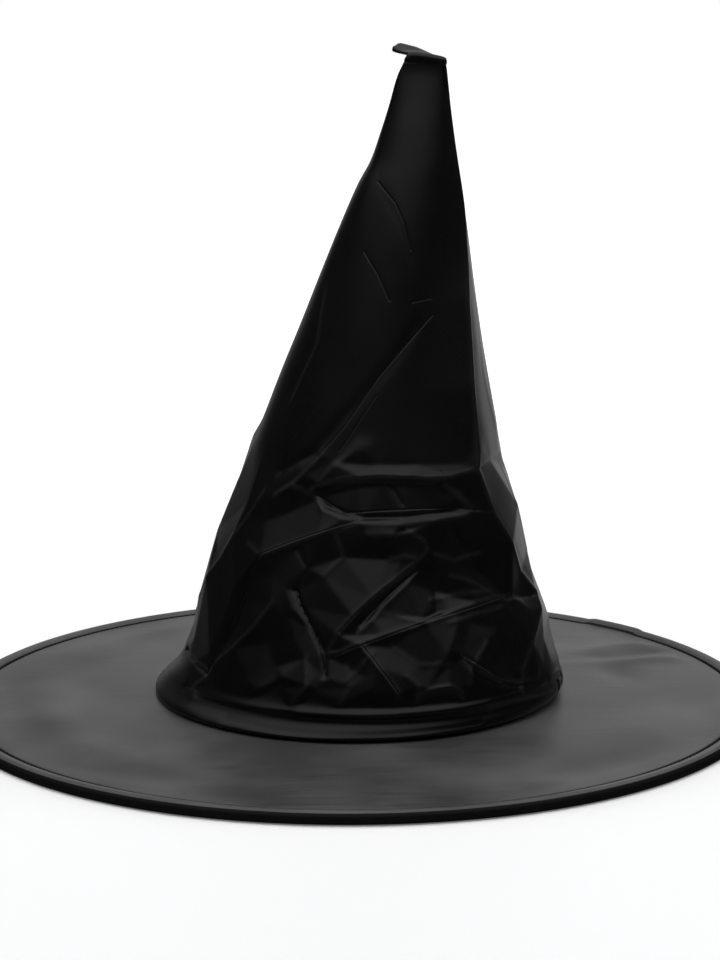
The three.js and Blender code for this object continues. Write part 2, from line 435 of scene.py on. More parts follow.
@dataclass(frozen=True)
class Taffeta(Finish):
    """Glossy plain-woven cloth: fine ribs across, uneven threads, and paler worn fold lines.

    Lengths and widths are in mm. The streak and the cloud say how much the uneven threads
    and the broad patches change the colour.
    """

    worn: Colour = (0.045, 0.045, 0.047)
    on_cut: bool = False
    rib: float = 0.55
    warp: float = 0.34375
    slub_length: float = 45.0
    slub_width: float = 0.9
    slub_depth: float = 0.05
    streak: float = 0.2
    cloud: float = 0.35
    cloud_scale: float = 18.0
    dust_scale: float = 900.0
    wear_share: float = 0.55
    crease_share: float = 0.7
    creases: tuple[FineCrease, ...] = ()

    def paint(self, graph: Graph, shader: bpy.types.Node) -> None:
        """Links the weave, the uneven threads and the worn folds to the shader.

        Args:
            graph: the material's graph.
            shader: its shader node.
        """
        place = graph.place(self.on_cut)
        across, along, _ = graph.parts(place)
        rib, warp = along.ribs(self.rib), across.ribs(self.warp)
        slub_scale = (1 / (self.slub_length * MM), 1 / (self.slub_width * MM), 1.0)
        slub = graph.noise(graph.stretched(place, slub_scale), 1.0, 3.0, 0.65)
        cloud = graph.noise(place, self.cloud_scale, 3.0, 0.5)
        dust = graph.noise(place, self.dust_scale, 2.0, 0.6)
        relief = rib * 0.16 + warp * 0.05 + slub * 0.62 + dust * 0.17
        share = (slub - 0.42) * (2.5 * self.streak) + (cloud - 0.4) * self.cloud
        if self.on_cut:
            wear = graph.add("ShaderNodeAttribute", {"attribute_name": WEAR_LAYER})
            share = share + graph.out(wear, "Fac") * self.wear_share
        for crease in self.creases:
            depth = crease.relief(graph, place)
            relief = relief - depth / self.slub_depth
            share = share + depth * self.crease_share
        colour = graph.mix(share.clamp(), self.colour, self.worn)
        uneven = (cloud - 0.5) * 0.12 + (slub - 0.5) * self.streak + rib * 0.03
        roughness = (uneven + self.roughness).clamp(0.15, 0.9)
        self.feed(graph, shader, colour, roughness, relief, self.slub_depth * MM)


@dataclass(frozen=True)
class Grosgrain(Finish):
    """Ribbed woven ribbon: strong cross ribs over fine threads, with sizes in mm."""

    rib: float = 1.1
    thread: float = 0.4
    depth: float = 0.22

    def paint(self, graph: Graph, shader: bpy.types.Node) -> None:
        """Links the ribs to the shader.

        Args:
            graph: the material's graph.
            shader: its shader node.
        """
        place = graph.place(on_cut=True)
        along, across, _ = graph.parts(place)
        ribs, threads = along.ribs(self.rib), across.ribs(self.thread)
        fuzz = graph.noise(place, 1400.0, 2.0, 0.6)
        colour = graph.mix((ribs * 0.6 + fuzz * 0.4).clamp(), self.colour, self.paler(2.2))
        relief = ribs * 0.7 + threads * 0.15 + fuzz * 0.15
        self.feed(graph, shader, colour, fuzz * 0.15 + self.roughness, relief, self.depth * MM)


@dataclass(frozen=True)
class Nonwoven(Finish):
    """Matted stiffener cloth: short pressed fibres in all directions."""

    fibres: Points = ((900.0, 160.0, 600.0), (160.0, 900.0, 600.0))
    depth: float = 0.25

    def paint(self, graph: Graph, shader: bpy.types.Node) -> None:
        """Links the matted fibres to the shader.

        Args:
            graph: the material's graph.
            shader: its shader node.
        """
        place = graph.place()
        one, other = (
            graph.noise(graph.stretched(place, way), 1.0, 3.0, 0.6) for way in self.fibres
        )
        mat = one * 0.5 + other * 0.5
        colour = graph.mix(mat.smooth(0.35, 0.65), self.colour, self.paler(1.7))
        self.feed(graph, shader, colour, mat * 0.2 + self.roughness, mat, self.depth * MM)


@dataclass(frozen=True)
class Plastic(Finish):
    """Drawn plastic: faint lines along the strip, scuffs and dust."""

    lines: Triple = (60.0, 60.0, 3000.0)
    depth: float = 0.05

    def paint(self, graph: Graph, shader: bpy.types.Node) -> None:
        """Links the drawing lines and scuffs to the shader.

        Args:
            graph: the material's graph.
            shader: its shader node.
        """
        place = graph.place()
        lines = graph.noise(graph.stretched(place, self.lines), 1.0, 2.0, 0.5)
        scuffs = graph.noise(place, 260.0, 4.0, 0.7)
        share = scuffs.smooth(0.45, 0.75)
        colour = graph.mix(share, self.colour, self.paler(1.5))
        roughness = share * 0.2 + lines * 0.1 + self.roughness
        relief = lines * 0.6 + scuffs * 0.4
        self.feed(graph, shader, colour, roughness, relief, self.depth * MM)


@dataclass(frozen=True)
class Thread(Finish):
    """Twisted sewing thread, with the pitch and the depth of its twist in mm."""

    twist: float = 0.5
    depth: float = 0.08

    def paint(self, graph: Graph, shader: bpy.types.Node) -> None:
        """Links the thread's twist to the shader.

        Args:
            graph: the material's graph.
            shader: its shader node.
        """
        place = graph.place()
        x, y, z = graph.parts(place)
        twist = (x + y + z * 1.4).ribs(self.twist)
        fuzz = graph.noise(place, 2500.0, 2.0, 0.6)
        colour = graph.mix((twist * 0.5 + fuzz * 0.3).clamp(), self.colour, self.paler(2.5))
        self.feed(graph, shader, colour, fuzz * 0.2 + self.roughness, twist, self.depth * MM)


@dataclass(frozen=True)
class Board(Finish):
    """The pale matt board that the hat stands on, with a faint glow that grows outwards.

    The glow goes from its near grey to its far grey between two distances in metres.
    """

    near_glow: float = 0.12
    far_glow: float = 0.75
    glow_reach: Pair = (0.3, 1.3)
    depth: float = 0.02

    def paint(self, graph: Graph, shader: bpy.types.Node) -> None:
        """Links the board's faint unevenness and its glow to the shader.

        Args:
            graph: the material's graph.
            shader: its shader node.
        """
        place = graph.place()
        cloud = graph.noise(place, 2.0, 3.0, 0.5)
        grain = graph.noise(place, 700.0, 2.0, 0.5)
        x, y, _ = graph.parts(place)
        away = ((x * x + y * y) ** 0.5).smooth(*self.glow_reach)
        glow = graph.mix(away, (self.near_glow,) * 3, (self.far_glow,) * 3)
        graph.tree.links.new(glow.socket, shader.inputs["Emission Color"])
        shader.inputs["Emission Strength"].default_value = 1.0
        colour = graph.mix(cloud, self.colour, self.paler(1.02))
        roughness = grain * 0.05 + self.roughness
        self.feed(graph, shader, colour, roughness, grain, self.depth * MM)


@dataclass(frozen=True)
class Finishes:
    """The finishes of this hat."""

    crown: Taffeta = Taffeta(
        "black_crown_taffeta",
        (0.002, 0.002, 0.0023),
        0.28,
        0.45,
        worn=(0.014, 0.014, 0.015),
        on_cut=True,
        slub_depth=0.003,
        streak=0.015,
        creases=(
            FineCrease(((-40, 249), (-12, 240), (0, 231), (8, 219))),
            FineCrease(((-31, 218), (-16, 209), (-4, 197))),
            FineCrease(((26, 190), (9, 177), (-4, 164), (-18, 142), (-28, 128))),
            FineCrease(((12, 196), (26, 197.5)), 0.1),
            FineCrease(((-4, 156), (-18, 131)), 0.1),
            FineCrease(((28, 122), (33, 110)), 0.1),
            FineCrease(((-36, 150), (-46, 132)), 0.08),
            FineCrease(((50, 64), (66, 60)), 0.12),
            FineCrease(((-25.4, 70.4), (-19, 54.6), (-14.8, 37)), 0.34, 0.6),
            FineCrease(((15, 81), (-10, 54)), 0.2, 0.5),
            FineCrease(((-3.4, 48.4), (8, 28.6)), 0.18),
            FineCrease(((-12, 44.6), (17, 57), (50, 62)), 0.18),
            FineCrease(((28, 43), (44, 26.4)), 0.3, 0.6),
            FineCrease(((-42, 83), (-56, 38)), 0.2, 0.5),
            FineCrease(((-6, 101.6), (-42, 83)), 0.18),
            FineCrease(((-24, 111.6), (-11, 104.6), (40, 104)), 0.2),
        ),
    )
    brim: Taffeta = Taffeta(
        "black_brim_taffeta",
        (0.038, 0.038, 0.0392),
        0.36,
        0.55,
        worn=(0.115, 0.115, 0.118),
        streak=0.36,
        cloud=1.5,
    )
    ribbon: Grosgrain = Grosgrain("black_grosgrain", (0.012, 0.012, 0.013), 0.55, 0.35)
    stiffener: Nonwoven = Nonwoven("black_stiffener", (0.02, 0.02, 0.022), 0.75, 0.3)
    hoop: Plastic = Plastic("spring_hoop_plastic", (0.55, 0.56, 0.55), 0.32, 0.5)
    sleeve: Plastic = Plastic("joining_sleeve_plastic", (0.03, 0.03, 0.033), 0.3, 0.5)
    # Painted shade: a darker taffeta for the brim's rim face and stitch groove, where the brim
    # cloth lies in shade.
    rim_painted_shade: Taffeta = Taffeta(
        "black_rim_taffeta",
        (0.004, 0.004, 0.0043),
        0.5,
        0.3,
        worn=(0.01, 0.01, 0.01),
        slub_depth=0.02,
    )
    thread: Thread = Thread("black_sewing_thread", (0.001, 0.001, 0.001), 0.6, 0.12)
    board: Board = Board("pale_board", (0.9, 0.9, 0.905), 0.45, 0.3)


# ---------------------------------------------------------------- mesh helpers


def in_metres(sizes: tuple[float, ...]) -> tuple[float, ...]:
    """Sizes in mm as sizes in metres."""
    return tuple(size * MM for size in sizes)


def eased(share: np.ndarray) -> np.ndarray:
    """A share from 0 to 1 with an even start and end."""
    share = np.clip(share, 0.0, 1.0)
    return share * share * (3.0 - 2.0 * share)


def unit(ways: np.ndarray) -> np.ndarray:
    """Directions brought to a length of 1."""
    return ways / np.maximum(np.linalg.norm(ways, axis=-1, keepdims=True), TINY)


def between(marks: np.ndarray, at: np.ndarray) -> tuple[np.ndarray, np.ndarray]:
    """Finds where values lie between rising marks.

    Args:
        marks: the marks.
        at: the values.

    Returns:
        The number of the mark below each value, and the value's share of the way to the next
        mark, with a last axis of one.
    """
    i = np.clip(np.searchsorted(marks, at, side="right") - 1, 0, len(marks) - 2)
    return i, ((at - marks[i]) / (marks[i + 1] - marks[i]))[..., None]


def faded(height: np.ndarray, limits: Limits) -> np.ndarray:
    """A share that grows between the first two limits and goes between the last two."""
    low, full, still, end = limits
    return eased((height - low) / (full - low)) * eased((end - height) / (end - still))


@dataclass(frozen=True)
class Outline:
    """A curve through (height, reach) points that never overshoots them."""

    points: Points

    def at(self, height: np.ndarray) -> np.ndarray:
        """The reach at each height.

        Args:
            height: heights in mm; beyond the ends the end value holds.

        Returns:
            The reach in mm.
        """
        z, v = (np.array(c, float) for c in zip(*self.points))
        step = np.diff(z)
        slope = np.diff(v) / step
        tangent = np.zeros_like(z)
        tangent[0], tangent[-1] = slope[0], slope[-1]
        same = slope[:-1] * slope[1:] > 0
        weight_a = 2 * step[1:] + step[:-1]
        weight_b = step[1:] + 2 * step[:-1]
        with np.errstate(divide="ignore", invalid="ignore"):
            mean = (weight_a + weight_b) / (weight_a / slope[:-1] + weight_b / slope[1:])
        tangent[1:-1] = np.where(same, mean, 0.0)
        h = np.clip(np.asarray(height, float), z[0], z[-1])
        i = np.clip(np.searchsorted(z, h, side="right") - 1, 0, len(z) - 2)
        t = (h - z[i]) / step[i]
        rise = tangent[i] * step[i] * t * (1 - t) ** 2 - tangent[i + 1] * step[i] * t * t * (1 - t)
        return v[i] + (v[i + 1] - v[i]) * t * t * (3 - 2 * t) + rise


def linked(name: str, data: bpy.types.ID) -> bpy.types.Object:
    """A new object of that data, linked to the scene."""
    made = bpy.data.objects.new(name, data)
    bpy.context.scene.collection.objects.link(made)
    return made


def make_piece(
    name: str,
    points: np.ndarray,
    faces: list[tuple[int, ...]],
    finish: Finish,
    cut: list[Pair] | None = None,
) -> bpy.types.Object:
    """Makes an object at the origin from points in millimetres.

    Args:
        name: the piece's name.
        points: its points in mm.
        faces: its faces, turned outwards.
        finish: its finish.
        cut: where each face corner lay on the flat cut cloth, in metres.

    Returns:
        The new object, linked to the scene.
    """
    mesh = bpy.data.meshes.new(name)
    mesh.from_pydata((points.reshape(-1, 3) * MM).tolist(), [], faces)
    mesh.polygons.foreach_set("use_smooth", [True] * len(mesh.polygons))
    if cut:
        layer = mesh.uv_layers.new(name=CUT_MAP)
        layer.data.foreach_set("uv", np.array(cut, np.float32).ravel())
    mesh.validate()
    mesh.materials.append(finish.material())
    return linked(name, mesh)


def thicken(piece: bpy.types.Object, thickness: float) -> None:
    """Gives a cloth's outer face its thickness in mm, inwards.

    Args:
        piece: the cloth.
        thickness: its thickness in mm.
    """
    solid = piece.modifiers.new("thickness", "SOLIDIFY")
    solid.thickness = thickness * MM
    solid.offset = -1.0
    solid.use_even_offset = False


def plain_copy(source: bpy.types.Object, name: str) -> bpy.types.Object:
    """Turns an object with modifiers into a plain mesh object, and removes the source.

    Args:
        source: the object with its modifiers.
        name: the plain object's name.

    Returns:
        The plain object.
    """
    graph = bpy.context.evaluated_depsgraph_get()
    mesh = bpy.data.meshes.new_from_object(source.evaluated_get(graph))
    mesh.name = name
    bpy.data.objects.remove(source)
    return linked(name, mesh)


class ShapeTree:
    """A geometry tree with named inputs, and the modifier that runs it on an object."""

    def __init__(self, name: str, wanted: dict[str, tuple[str, Any]]) -> None:
        """Starts the tree.

        Args:
            name: the tree's name.
            wanted: the socket type and the value of each named input.
        """
        self.tree = bpy.data.node_groups.new(name, "GeometryNodeTree")
        for way in ("INPUT", "OUTPUT"):
            self.tree.interface.new_socket(
                "Geometry", in_out=way, socket_type="NodeSocketGeometry"
            )
        self.values: dict[str, Any] = {}
        for label, (kind, value) in wanted.items():
            made = self.tree.interface.new_socket(label, in_out="INPUT", socket_type=kind)
            self.values[made.identifier] = value
        self.graph = Graph(self.tree)
        entry = self.graph.add("NodeGroupInput")
        self.source = self.graph.out(entry, 0)
        self.given = {label: self.graph.out(entry, label) for label in wanted}

    def painted(self, shape: Sock, finish: Sock) -> Sock:
        """Makes a shape real and smooth, and gives it its finish.

        Args:
            shape: the shape.
            finish: the material.

        Returns:
            The painted shape.
        """
        for step in ("GeometryNodeRealizeInstances", "GeometryNodeSetShadeSmooth"):
            shape = self.graph.out(self.graph.add(step, None, {0: shape}))
        look = {"Geometry": shape, "Material": finish}
        return self.graph.out(self.graph.add("GeometryNodeSetMaterial", None, look))

    def end(self, shape: Sock) -> None:
        """Sends the finished shape to the tree's output."""
        self.tree.links.new(shape.socket, self.graph.add("NodeGroupOutput").inputs[0])

    def put_on(self, holder: bpy.types.Object) -> None:
        """Adds the tree to an object as a modifier, with its inputs set by identifier.

        Args:
            holder: the object.
        """
        shape = holder.modifiers.new("shape", "NODES")
        shape.node_group = self.tree
        for identifier, value in self.values.items():
            shape[identifier] = value


def report(piece: bpy.types.Object) -> bpy.types.Object:
    """Logs a finished piece and gives it back."""
    LOG.info("made %s: %d faces", piece.name, len(piece.data.polygons))
    return piece


# ---------------------------------------------------------------- the crown's form


def wrapped(bearing: np.ndarray | float) -> np.ndarray | float:
    """A bearing brought to between -180 and 180 degrees."""
    return (bearing + 180.0) % 360.0 - 180.0


@dataclass(frozen=True)
class CrownForm:
    """The crown's smooth form: four outlines, and a pressed edge down its right front.

    Each outline gives how far the cloth reaches to that side of the hat's centre line.
    The pressed edge is a list of (height, bearing, push) with the push as a share of the
    reach there, and it fades over the edge reach, in degrees, to either side.
    """

    left: Outline = Outline(
        (
            (8.4, 94.6), (11, 94.2), (14, 91.5), (20, 85.5), (26, 81.3), (37, 76.5), (47, 73.8),
            (61, 71), (77, 66.3), (92, 61), (112, 53.4), (134, 43.9), (158, 34.2), (181, 24.6),
            (205, 15.3), (228, 5.8), (249, -3.8), (256.5, -8.2), (270, -13.1), (283, -17.3),
            (296, -21.0), (303.5, -24.7),
        )
    )
    right: Outline = Outline(
        (
            (8.4, 94.9), (11, 98.2), (14, 99.4), (20, 97.5), (35, 93.7), (48, 91.1), (56, 87.2),
            (63, 83.7), (77, 80.6), (92, 77.9), (104, 74), (117, 70.1), (132, 67.6), (158, 63.2),
            (186, 58.6), (215, 54.2), (247, 50), (280, 45.4), (296, 43.7), (303.5, 42.9),
        )
    )
    front: Outline = Outline(
        (
            (8.4, 94.6), (8.8, 98.6), (9.3, 99.6), (12.6, 97.7), (16, 95.0), (18, 94.8),
            (19.2, 96.2), (20.2, 96.4), (21, 95.6), (22.2, 94.2), (30, 92.6), (38, 89.6),
            (47, 85.4), (61, 79.2), (77, 73), (92, 68.2), (104, 64.8), (113, 62.4),
            (134, 56), (158, 49), (181, 42.5), (205, 35.6), (228, 29), (249, 22), (272, 13),
            (290, 5.5), (300, 1.9), (303.5, 1.4),
        )
    )
    back: Outline = Outline(
        (
            (8.4, 94.6), (11, 95.6), (15, 95), (20, 91), (28, 86), (45, 81.5), (61, 77.5),
            (77, 73), (92, 68.5), (112, 62.5), (134, 56), (158, 49), (181, 42.5), (205, 35.6),
            (228, 29), (249, 22), (272, 13), (290, 5.5), (300, 1.9), (303.5, 1.4),
        )
    )
    edge: Points = (
        (8.4, 80, 0), (50, 80, 0), (61, 79, 0.02), (71, 76, 0.05), (88, 60, 0.09), (102, 52, 0.12),
        (120, 44, 0.15), (158, 46, 0.15), (196, 52, 0.13), (225, 63, 0.1), (245, 74, 0.08),
        (275, 84, 0.04), (303.5, 90, 0),
    )
    edge_reach: float = 34.0
    foot: float = 8.4
    top: float = 303.5
    ring_step: float = 2.0
    probe: float = 0.5

    def _section(self, bearing: np.ndarray, height: np.ndarray) -> tuple[np.ndarray, np.ndarray]:
        """The cross-section before it is fitted to the outlines.

        Args:
            bearing: bearings in degrees.
            height: heights in mm, of the same shape or one that spreads to it.

        Returns:
            Its right-hand and backward parts.
        """
        z, at, push = (np.array(c, float) for c in zip(*self.edge))
        away = np.abs(wrapped(bearing - np.interp(height, z, at)))
        near = np.clip(1.0 - away / self.edge_reach, 0.0, 1.0) ** 2
        reach = 1.0 + np.interp(height, z, push) * near
        angle = np.radians(bearing)
        return reach * np.sin(angle), -reach * np.cos(angle)

    def surface(self, bearing: np.ndarray, height: np.ndarray) -> np.ndarray:
        """Points of the smooth form.

        Args:
            bearing: bearings in degrees.
            height: heights in mm.

        Returns:
            The points, in mm, with a last axis of three.
        """
        bearing, height = np.broadcast_arrays(
            np.asarray(bearing, float), np.asarray(height, float)
        )
        levels, back_to = np.unique(height, return_inverse=True)
        back_to = back_to.reshape(height.shape)
        ring = np.arange(0.0, 360.0, self.ring_step)
        xs, ys = self._section(ring[None, :], levels[:, None])
        x, y = self._section(bearing, height)
        low_x, high_x = xs.min(1)[back_to], xs.max(1)[back_to]
        low_y, high_y = ys.min(1)[back_to], ys.max(1)[back_to]
        left, right = self.left.at(levels)[back_to], self.right.at(levels)[back_to]
        front, back = self.front.at(levels)[back_to], self.back.at(levels)[back_to]
        px = -left + (x - low_x) / (high_x - low_x) * (right + left)
        py = -front + (y - low_y) / (high_y - low_y) * (front + back)
        return np.stack([px, py, height], -1)

    def outward(self, bearing: np.ndarray, height: np.ndarray) -> np.ndarray:
        """Unit directions that point straight out of the smooth form.

        Args:
            bearing: bearings in degrees.
            height: heights in mm.

        Returns:
            The directions.
        """
        step = self.probe
        round_ = self.surface(bearing + step, height) - self.surface(bearing - step, height)
        up = self.surface(bearing, height + step) - self.surface(bearing, height - step)
        return unit(np.cross(round_, up))


@dataclass(frozen=True)
class Crease:
    """A line pressed into the cloth, through (bearing, height, push) points.

    The push moves the cloth outwards there in mm. The pinch raises the fold line itself by
    that much more, or sinks it when below 0, and fades over the spread to either side. A
    crease that is in the net is also an edge of the flat facets.
    """

    points: Points
    pinch: float = 0.0
    spread: float = 3.0
    net: bool = True


@dataclass(frozen=True)
class Creases:
    """The crown's creases, by the part of the crown that they cross."""

    waist: tuple[Crease, ...] = (
        Crease(((-62, 126, 0), (-40, 128, 0), (-20, 126.4, 0), (0, 125.4, 0), (20, 124.8, 0),
                (38, 124.6, 0))),
        Crease(((-26, 115.5, -0.2), (-16, 118.4, 0.9), (-6, 120.4, 1.6), (2, 120.8, 1.9),
                (12, 120.3, 1.9), (23, 119.2, 1.6), (32, 119.4, 1.0), (42, 121.6, 0.4)), 0.3, 1.8),
        Crease(((-20, 112.6, -1.1), (-8, 116.6, -0.8), (4, 117.6, -0.9), (15, 117, -1.0),
                (26, 116.2, -0.8), (36, 114, -0.4))),
        Crease(((-30, 113.6, -0.6), (-24, 111.6, -1.1), (-19, 107.4, -1.0), (-11, 104.8, -0.5),
                (-4, 103.4, -0.2), (11, 102.8, -0.1), (25, 103.6, 0.0), (40, 104.6, 0.1),
                (48, 102.4, 0.2)), -0.45, 1.4),
        Crease(((-36, 114.4, 0.7), (-27, 113.2, 0.3), (-20, 105.4, 0.6), (-11, 101.8, 1.0),
                (-4, 100.4, 1.1), (11, 99.6, 1.2), (25, 100.6, 1.2), (38, 101.6, 0.8)), 0.2, 1.5),
        Crease(((30, 116, 0.4), (35, 110, 0.6), (40, 105.4, 0.7)), 0.45, 2.2),
        Crease(((8, 115.4, 0), (10, 112, 0), (12, 108.4, 0)), -0.35, 1.6, False),
        Crease(((-4, 103, -0.6), (-20, 95.2, 2.0), (-42, 82.8, 2.2), (-52, 86.6, 0.6)), 0.35, 2.4),
        Crease(((-36, 114.4, 0.9), (-45, 109, 0.5), (-60, 104, 0.3))),
        Crease(((-52, 86.6, 0.6), (-46, 98, -0.2), (-36, 103, -0.6), (-24, 110, -0.9))),
        Crease(((43, 121.6, 0.4), (60, 122.6, -0.5), (84, 121.8, -0.4)), -0.3, 2.2),
        Crease(((-9, 133.5, 0.9), (-18, 125, 1.1), (-25, 116.6, 0.3)), 0.0, 4.0),
        Crease(((-26, 129, 0.2), (-33, 119.6, 0.4), (-45, 109, 0.5)), 0.35, 1.6),
    )
    belly: tuple[Crease, ...] = (
        Crease(((11, 102.4, 0), (13, 97, 0.5), (20, 91.2, 0.7), (20.5, 87.6, 0.6), (16, 82.2, 1.0)),
               0.35, 2.2),
        Crease(((-2, 95.6, 1.2), (7, 95.2, 1.4), (14, 95.8, 0.9)), 0.3, 3.0),
        Crease(((7, 85, 0.3), (11, 85.6, 0.9), (16, 84.6, 1.0)), 0.4, 2.4),
        Crease(((16, 82.2, 1.0), (9, 75.4, 1.5), (2, 68.6, 1.8), (-5, 60.6, 1.7), (-11, 53.2, 0.9),
                (-14.6, 46, -0.9)), 0.45, 2.2),
        Crease(((17, 79.6, 0.2), (10, 72.4, 0.1), (3.6, 65.4, 0.0), (-3, 57.4, 0.1)), -0.6, 1.7),
        Crease(((14, 74.6, 0.4), (7.6, 67.4, 0.6), (1, 59.4, 0.5), (-5, 53, 0.2)), 0.4, 1.8),
        Crease(((-25.4, 70.4, 0.1), (-23, 64, -0.1), (-19, 54.6, -0.3), (-15.4, 45.4, -0.5),
                (-14.6, 35.6, -0.6)), -1.0, 1.5),
        Crease(((-30, 71, 0.4), (-27.6, 60, 0.2), (-25.6, 50.6, 0.1), (-21.4, 42.6, -0.2))),
        Crease(((-14.4, 45, -0.8), (-9.6, 46, 0.2), (-4.4, 49.4, 1.3), (4, 53, 0.9),
                (15, 56.2, 1.0), (17.4, 57.6, 1.4)), 0.55, 2.0),
        Crease(((2, 63.6, -0.5), (9, 60.6, 0.3), (17.4, 57.6, 1.4)), 0.25, 2.4),
        Crease(((17.4, 57.6, 1.4), (29, 60.4, 1.0), (39, 62.4, 1.0), (50, 62.4, 1.0),
                (58, 61, 0.6)), 0.45, 2.6),
        Crease(((18.4, 58.6, 0.4), (24, 61, -0.5), (24.6, 70, -0.7), (23, 78, -0.4)), -0.35, 2.6),
        Crease(((-4.4, 49.4, 1.3), (1.6, 39.4, 1.1), (8, 28.6, 1.0)), 0.5, 1.8),
        Crease(((6, 48, -0.2), (14, 40.2, -0.4), (24, 39.4, -0.2)), 0.3, 1.8),
        Crease(((29, 56, 0.9), (22.6, 44, 1.1), (16.4, 32, 0.3)), 0.2, 4.0),
        Crease(((13, 27.4, 0.3), (18, 29.6, 0.9), (23, 30.2, 1.2), (26.8, 27.6, 1.0),
                (27.4, 24, 0.3)), 0.8, 1.6),
        Crease(((17, 26, -0.3), (21.6, 26.8, -0.4), (24.4, 26, -0.2))),
        Crease(((28, 43.6, 0.3), (34, 34.6, 1.1), (40.6, 29.8, 1.2), (50, 26.2, 0.8)), 0.15, 1.6),
        Crease(((28.4, 42, -0.3), (34.4, 32.8, -0.5), (41, 27.6, -0.5), (50.4, 24.4, -0.2)),
               -0.7, 1.9),
        Crease(((54, 61.6, 0.2), (64, 60.2, -0.5), (74, 58, -0.4)), -0.6, 1.6),
        Crease(((26, 56, 0), (38, 58, 0), (50, 58.6, 0)), 0.35, 1.6, False),
        Crease(((22, 66.5, 0), (34, 67.4, 0), (46, 66, 0)), 0.3, 1.6, False),
        Crease(((30, 76, 0), (40, 71, 0), (48, 64, 0)), 0.3, 1.8, False),
        Crease(((24, 86, -0.3), (32, 82, 0.5), (43, 84, 0.3)), 0.25, 1.8),
        Crease(((30, 97, 0.2), (36, 88, -0.5), (44, 74, 0.3)), -0.35, 1.8),
        Crease(((-14, 96, 0.9), (-10, 86, -0.2), (-16, 77, 0.7)), 0.3, 1.8),
        Crease(((-28, 88, 0.6), (-22, 80, 1.0), (-25.4, 70.4, -0.2)), -0.3, 2.0),
        Crease(((-36, 76, 0.4), (-30, 71, 0.5), (-26, 62, 0.8))),
        Crease(((-8, 34, 0), (-4, 40, 0), (0, 46, 0)), 0.3, 1.6, False),
        Crease(((38, 46, 0.2), (32, 38, 0.7), (30, 30, 0.5)), 0.3, 1.8),
        Crease(((10, 36, 0.6), (14, 31, 0.9), (13, 25, 0.7)), 0.3, 1.8),
        Crease(((34, 55, 0.2), (45, 50.6, -0.8), (56, 50, -0.4), (66, 53, 0))),
    )
    left_side: tuple[Crease, ...] = (
        Crease(((-42, 82.8, 2.2), (-45, 74, -0.4), (-48.4, 62, -1.2), (-51.4, 52, -1.2),
                (-54.4, 44, -1.0), (-58.4, 29.4, -0.6)), -0.55, 1.8),
        Crease(((-42, 82.8, 2.2), (-52.4, 68, 0.7), (-56, 52, 0.6), (-61, 36, 0.4))),
        Crease(((-52, 110, 0.1), (-57.4, 96, 0.6), (-63, 87.2, 0.9), (-76, 66, 1.1), (-86, 54, 0.8),
                (-94, 40, 0.5)), 0.4, 2.0),
        Crease(((-34, 63.4, 0.8), (-41, 52.4, 0.9), (-49, 42, 0.9), (-56.4, 33, 0.6),
                (-57, 25, 0.6)), 0.3, 3.0),
        Crease(((-36, 47, -0.9), (-31, 38, -1.5), (-29, 30, -1.3))),
        Crease(((-21.4, 42.6, -0.2), (-28, 33.6, 0.1), (-36, 26, 0.5))),
        Crease(((-21.4, 42.6, -0.2), (-19.6, 31, 0.8), (-22.6, 24, 0.9)), 0.3, 2.0),
        Crease(((-16.4, 37, -1.4), (-16.8, 30, -1.0), (-19, 25, -0.4))),
        Crease(((-8.6, 41, -1.2), (-6.4, 32, -0.4), (-8.4, 24.6, 0.6)), 0.2, 3.0),
        Crease(((-2, 36, 0.3), (-1, 30, 0.7), (1.6, 25, 0.6))),
        Crease(((-88, 84, 0.4), (-78, 78, -0.5), (-70, 76, -0.2))),
        Crease(((-100, 60, -0.4), (-92, 48, 0.2), (-80, 36, -0.3), (-70, 28, 0))),
    )
    corner: tuple[Crease, ...] = (
        Crease(((89, 299, 0), (84, 275, 0), (75, 243, 0), (63, 223, 0), (52, 196, 0), (46, 159, 0),
                (44, 134, 0)), 0.35, 2.2, False),
        Crease(((44, 134, 0), (43.4, 121.6, 0.4), (49, 101.6, 0.7), (58, 86.4, 0.6), (68, 70, 0.4),
                (77, 58, 0.6)), 0.5, 2.4),
        Crease(((77, 58, 0.6), (74, 51, 0.8), (60, 40, 0.9), (51, 29.4, 0.8), (50.4, 21, 0.6)),
               0.35, 2.6),
        Crease(((80, 118, -0.6), (78, 98, 0.7), (86, 76, 0.4)), 0.3, 3.0),
        Crease(((90, 110, 0.4), (96, 92, -0.5), (92, 70, 0.5), (88, 44, -0.4), (84, 26, 0))),
        Crease(((72, 38, -0.9), (66, 28, -0.6), (74, 22, 0))),
    )
    upper: tuple[Crease, ...] = (
        Crease(((15, 185, 0), (3, 171, 0), (-8, 159, 0), (-20, 145, 0), (-30, 130, 0),
                (-46, 120, 0)), -0.5, 5.0, False),
        Crease(((-42, 250, 0), (-24, 243, 0), (-8, 235, 0), (2, 226, 0), (9, 216, 0)),
               -0.2, 2.6, False),
        Crease(((-31, 219, 0), (-16, 208, 0), (-2, 197, 0)), -0.12, 2.2, False),
        Crease(((57, 303, 0), (63, 297, 0), (70, 288, 0)), -0.7, 1.6, False),
        Crease(((-60, 200, 0), (-50, 176, 0), (-56, 150, 0)), 0.3, 6.0, False),
        Crease(((20, 262, 0), (34, 240, 0), (28, 214, 0)), -0.1, 5.0, False),
        Crease(((64, 210, 0), (74, 190, 0), (70, 160, 0), (80, 136, 0)), 0.3, 5.0, False),
        Crease(((120, 260, 0), (140, 236, 0), (128, 206, 0)), 0.4, 4.0, False),
        Crease(((-130, 214, 0), (-110, 186, 0), (-122, 154, 0)), -0.5, 5.0, False),
        Crease(((150, 190, 0), (128, 172, 0), (110, 150, 0), (122, 134, 0)), 0.5, 4.0, False),
        Crease(((-150, 168, 0), (-134, 150, 0), (-112, 142, 0), (-96, 150, 0)), 0.45, 4.0, False),
    )
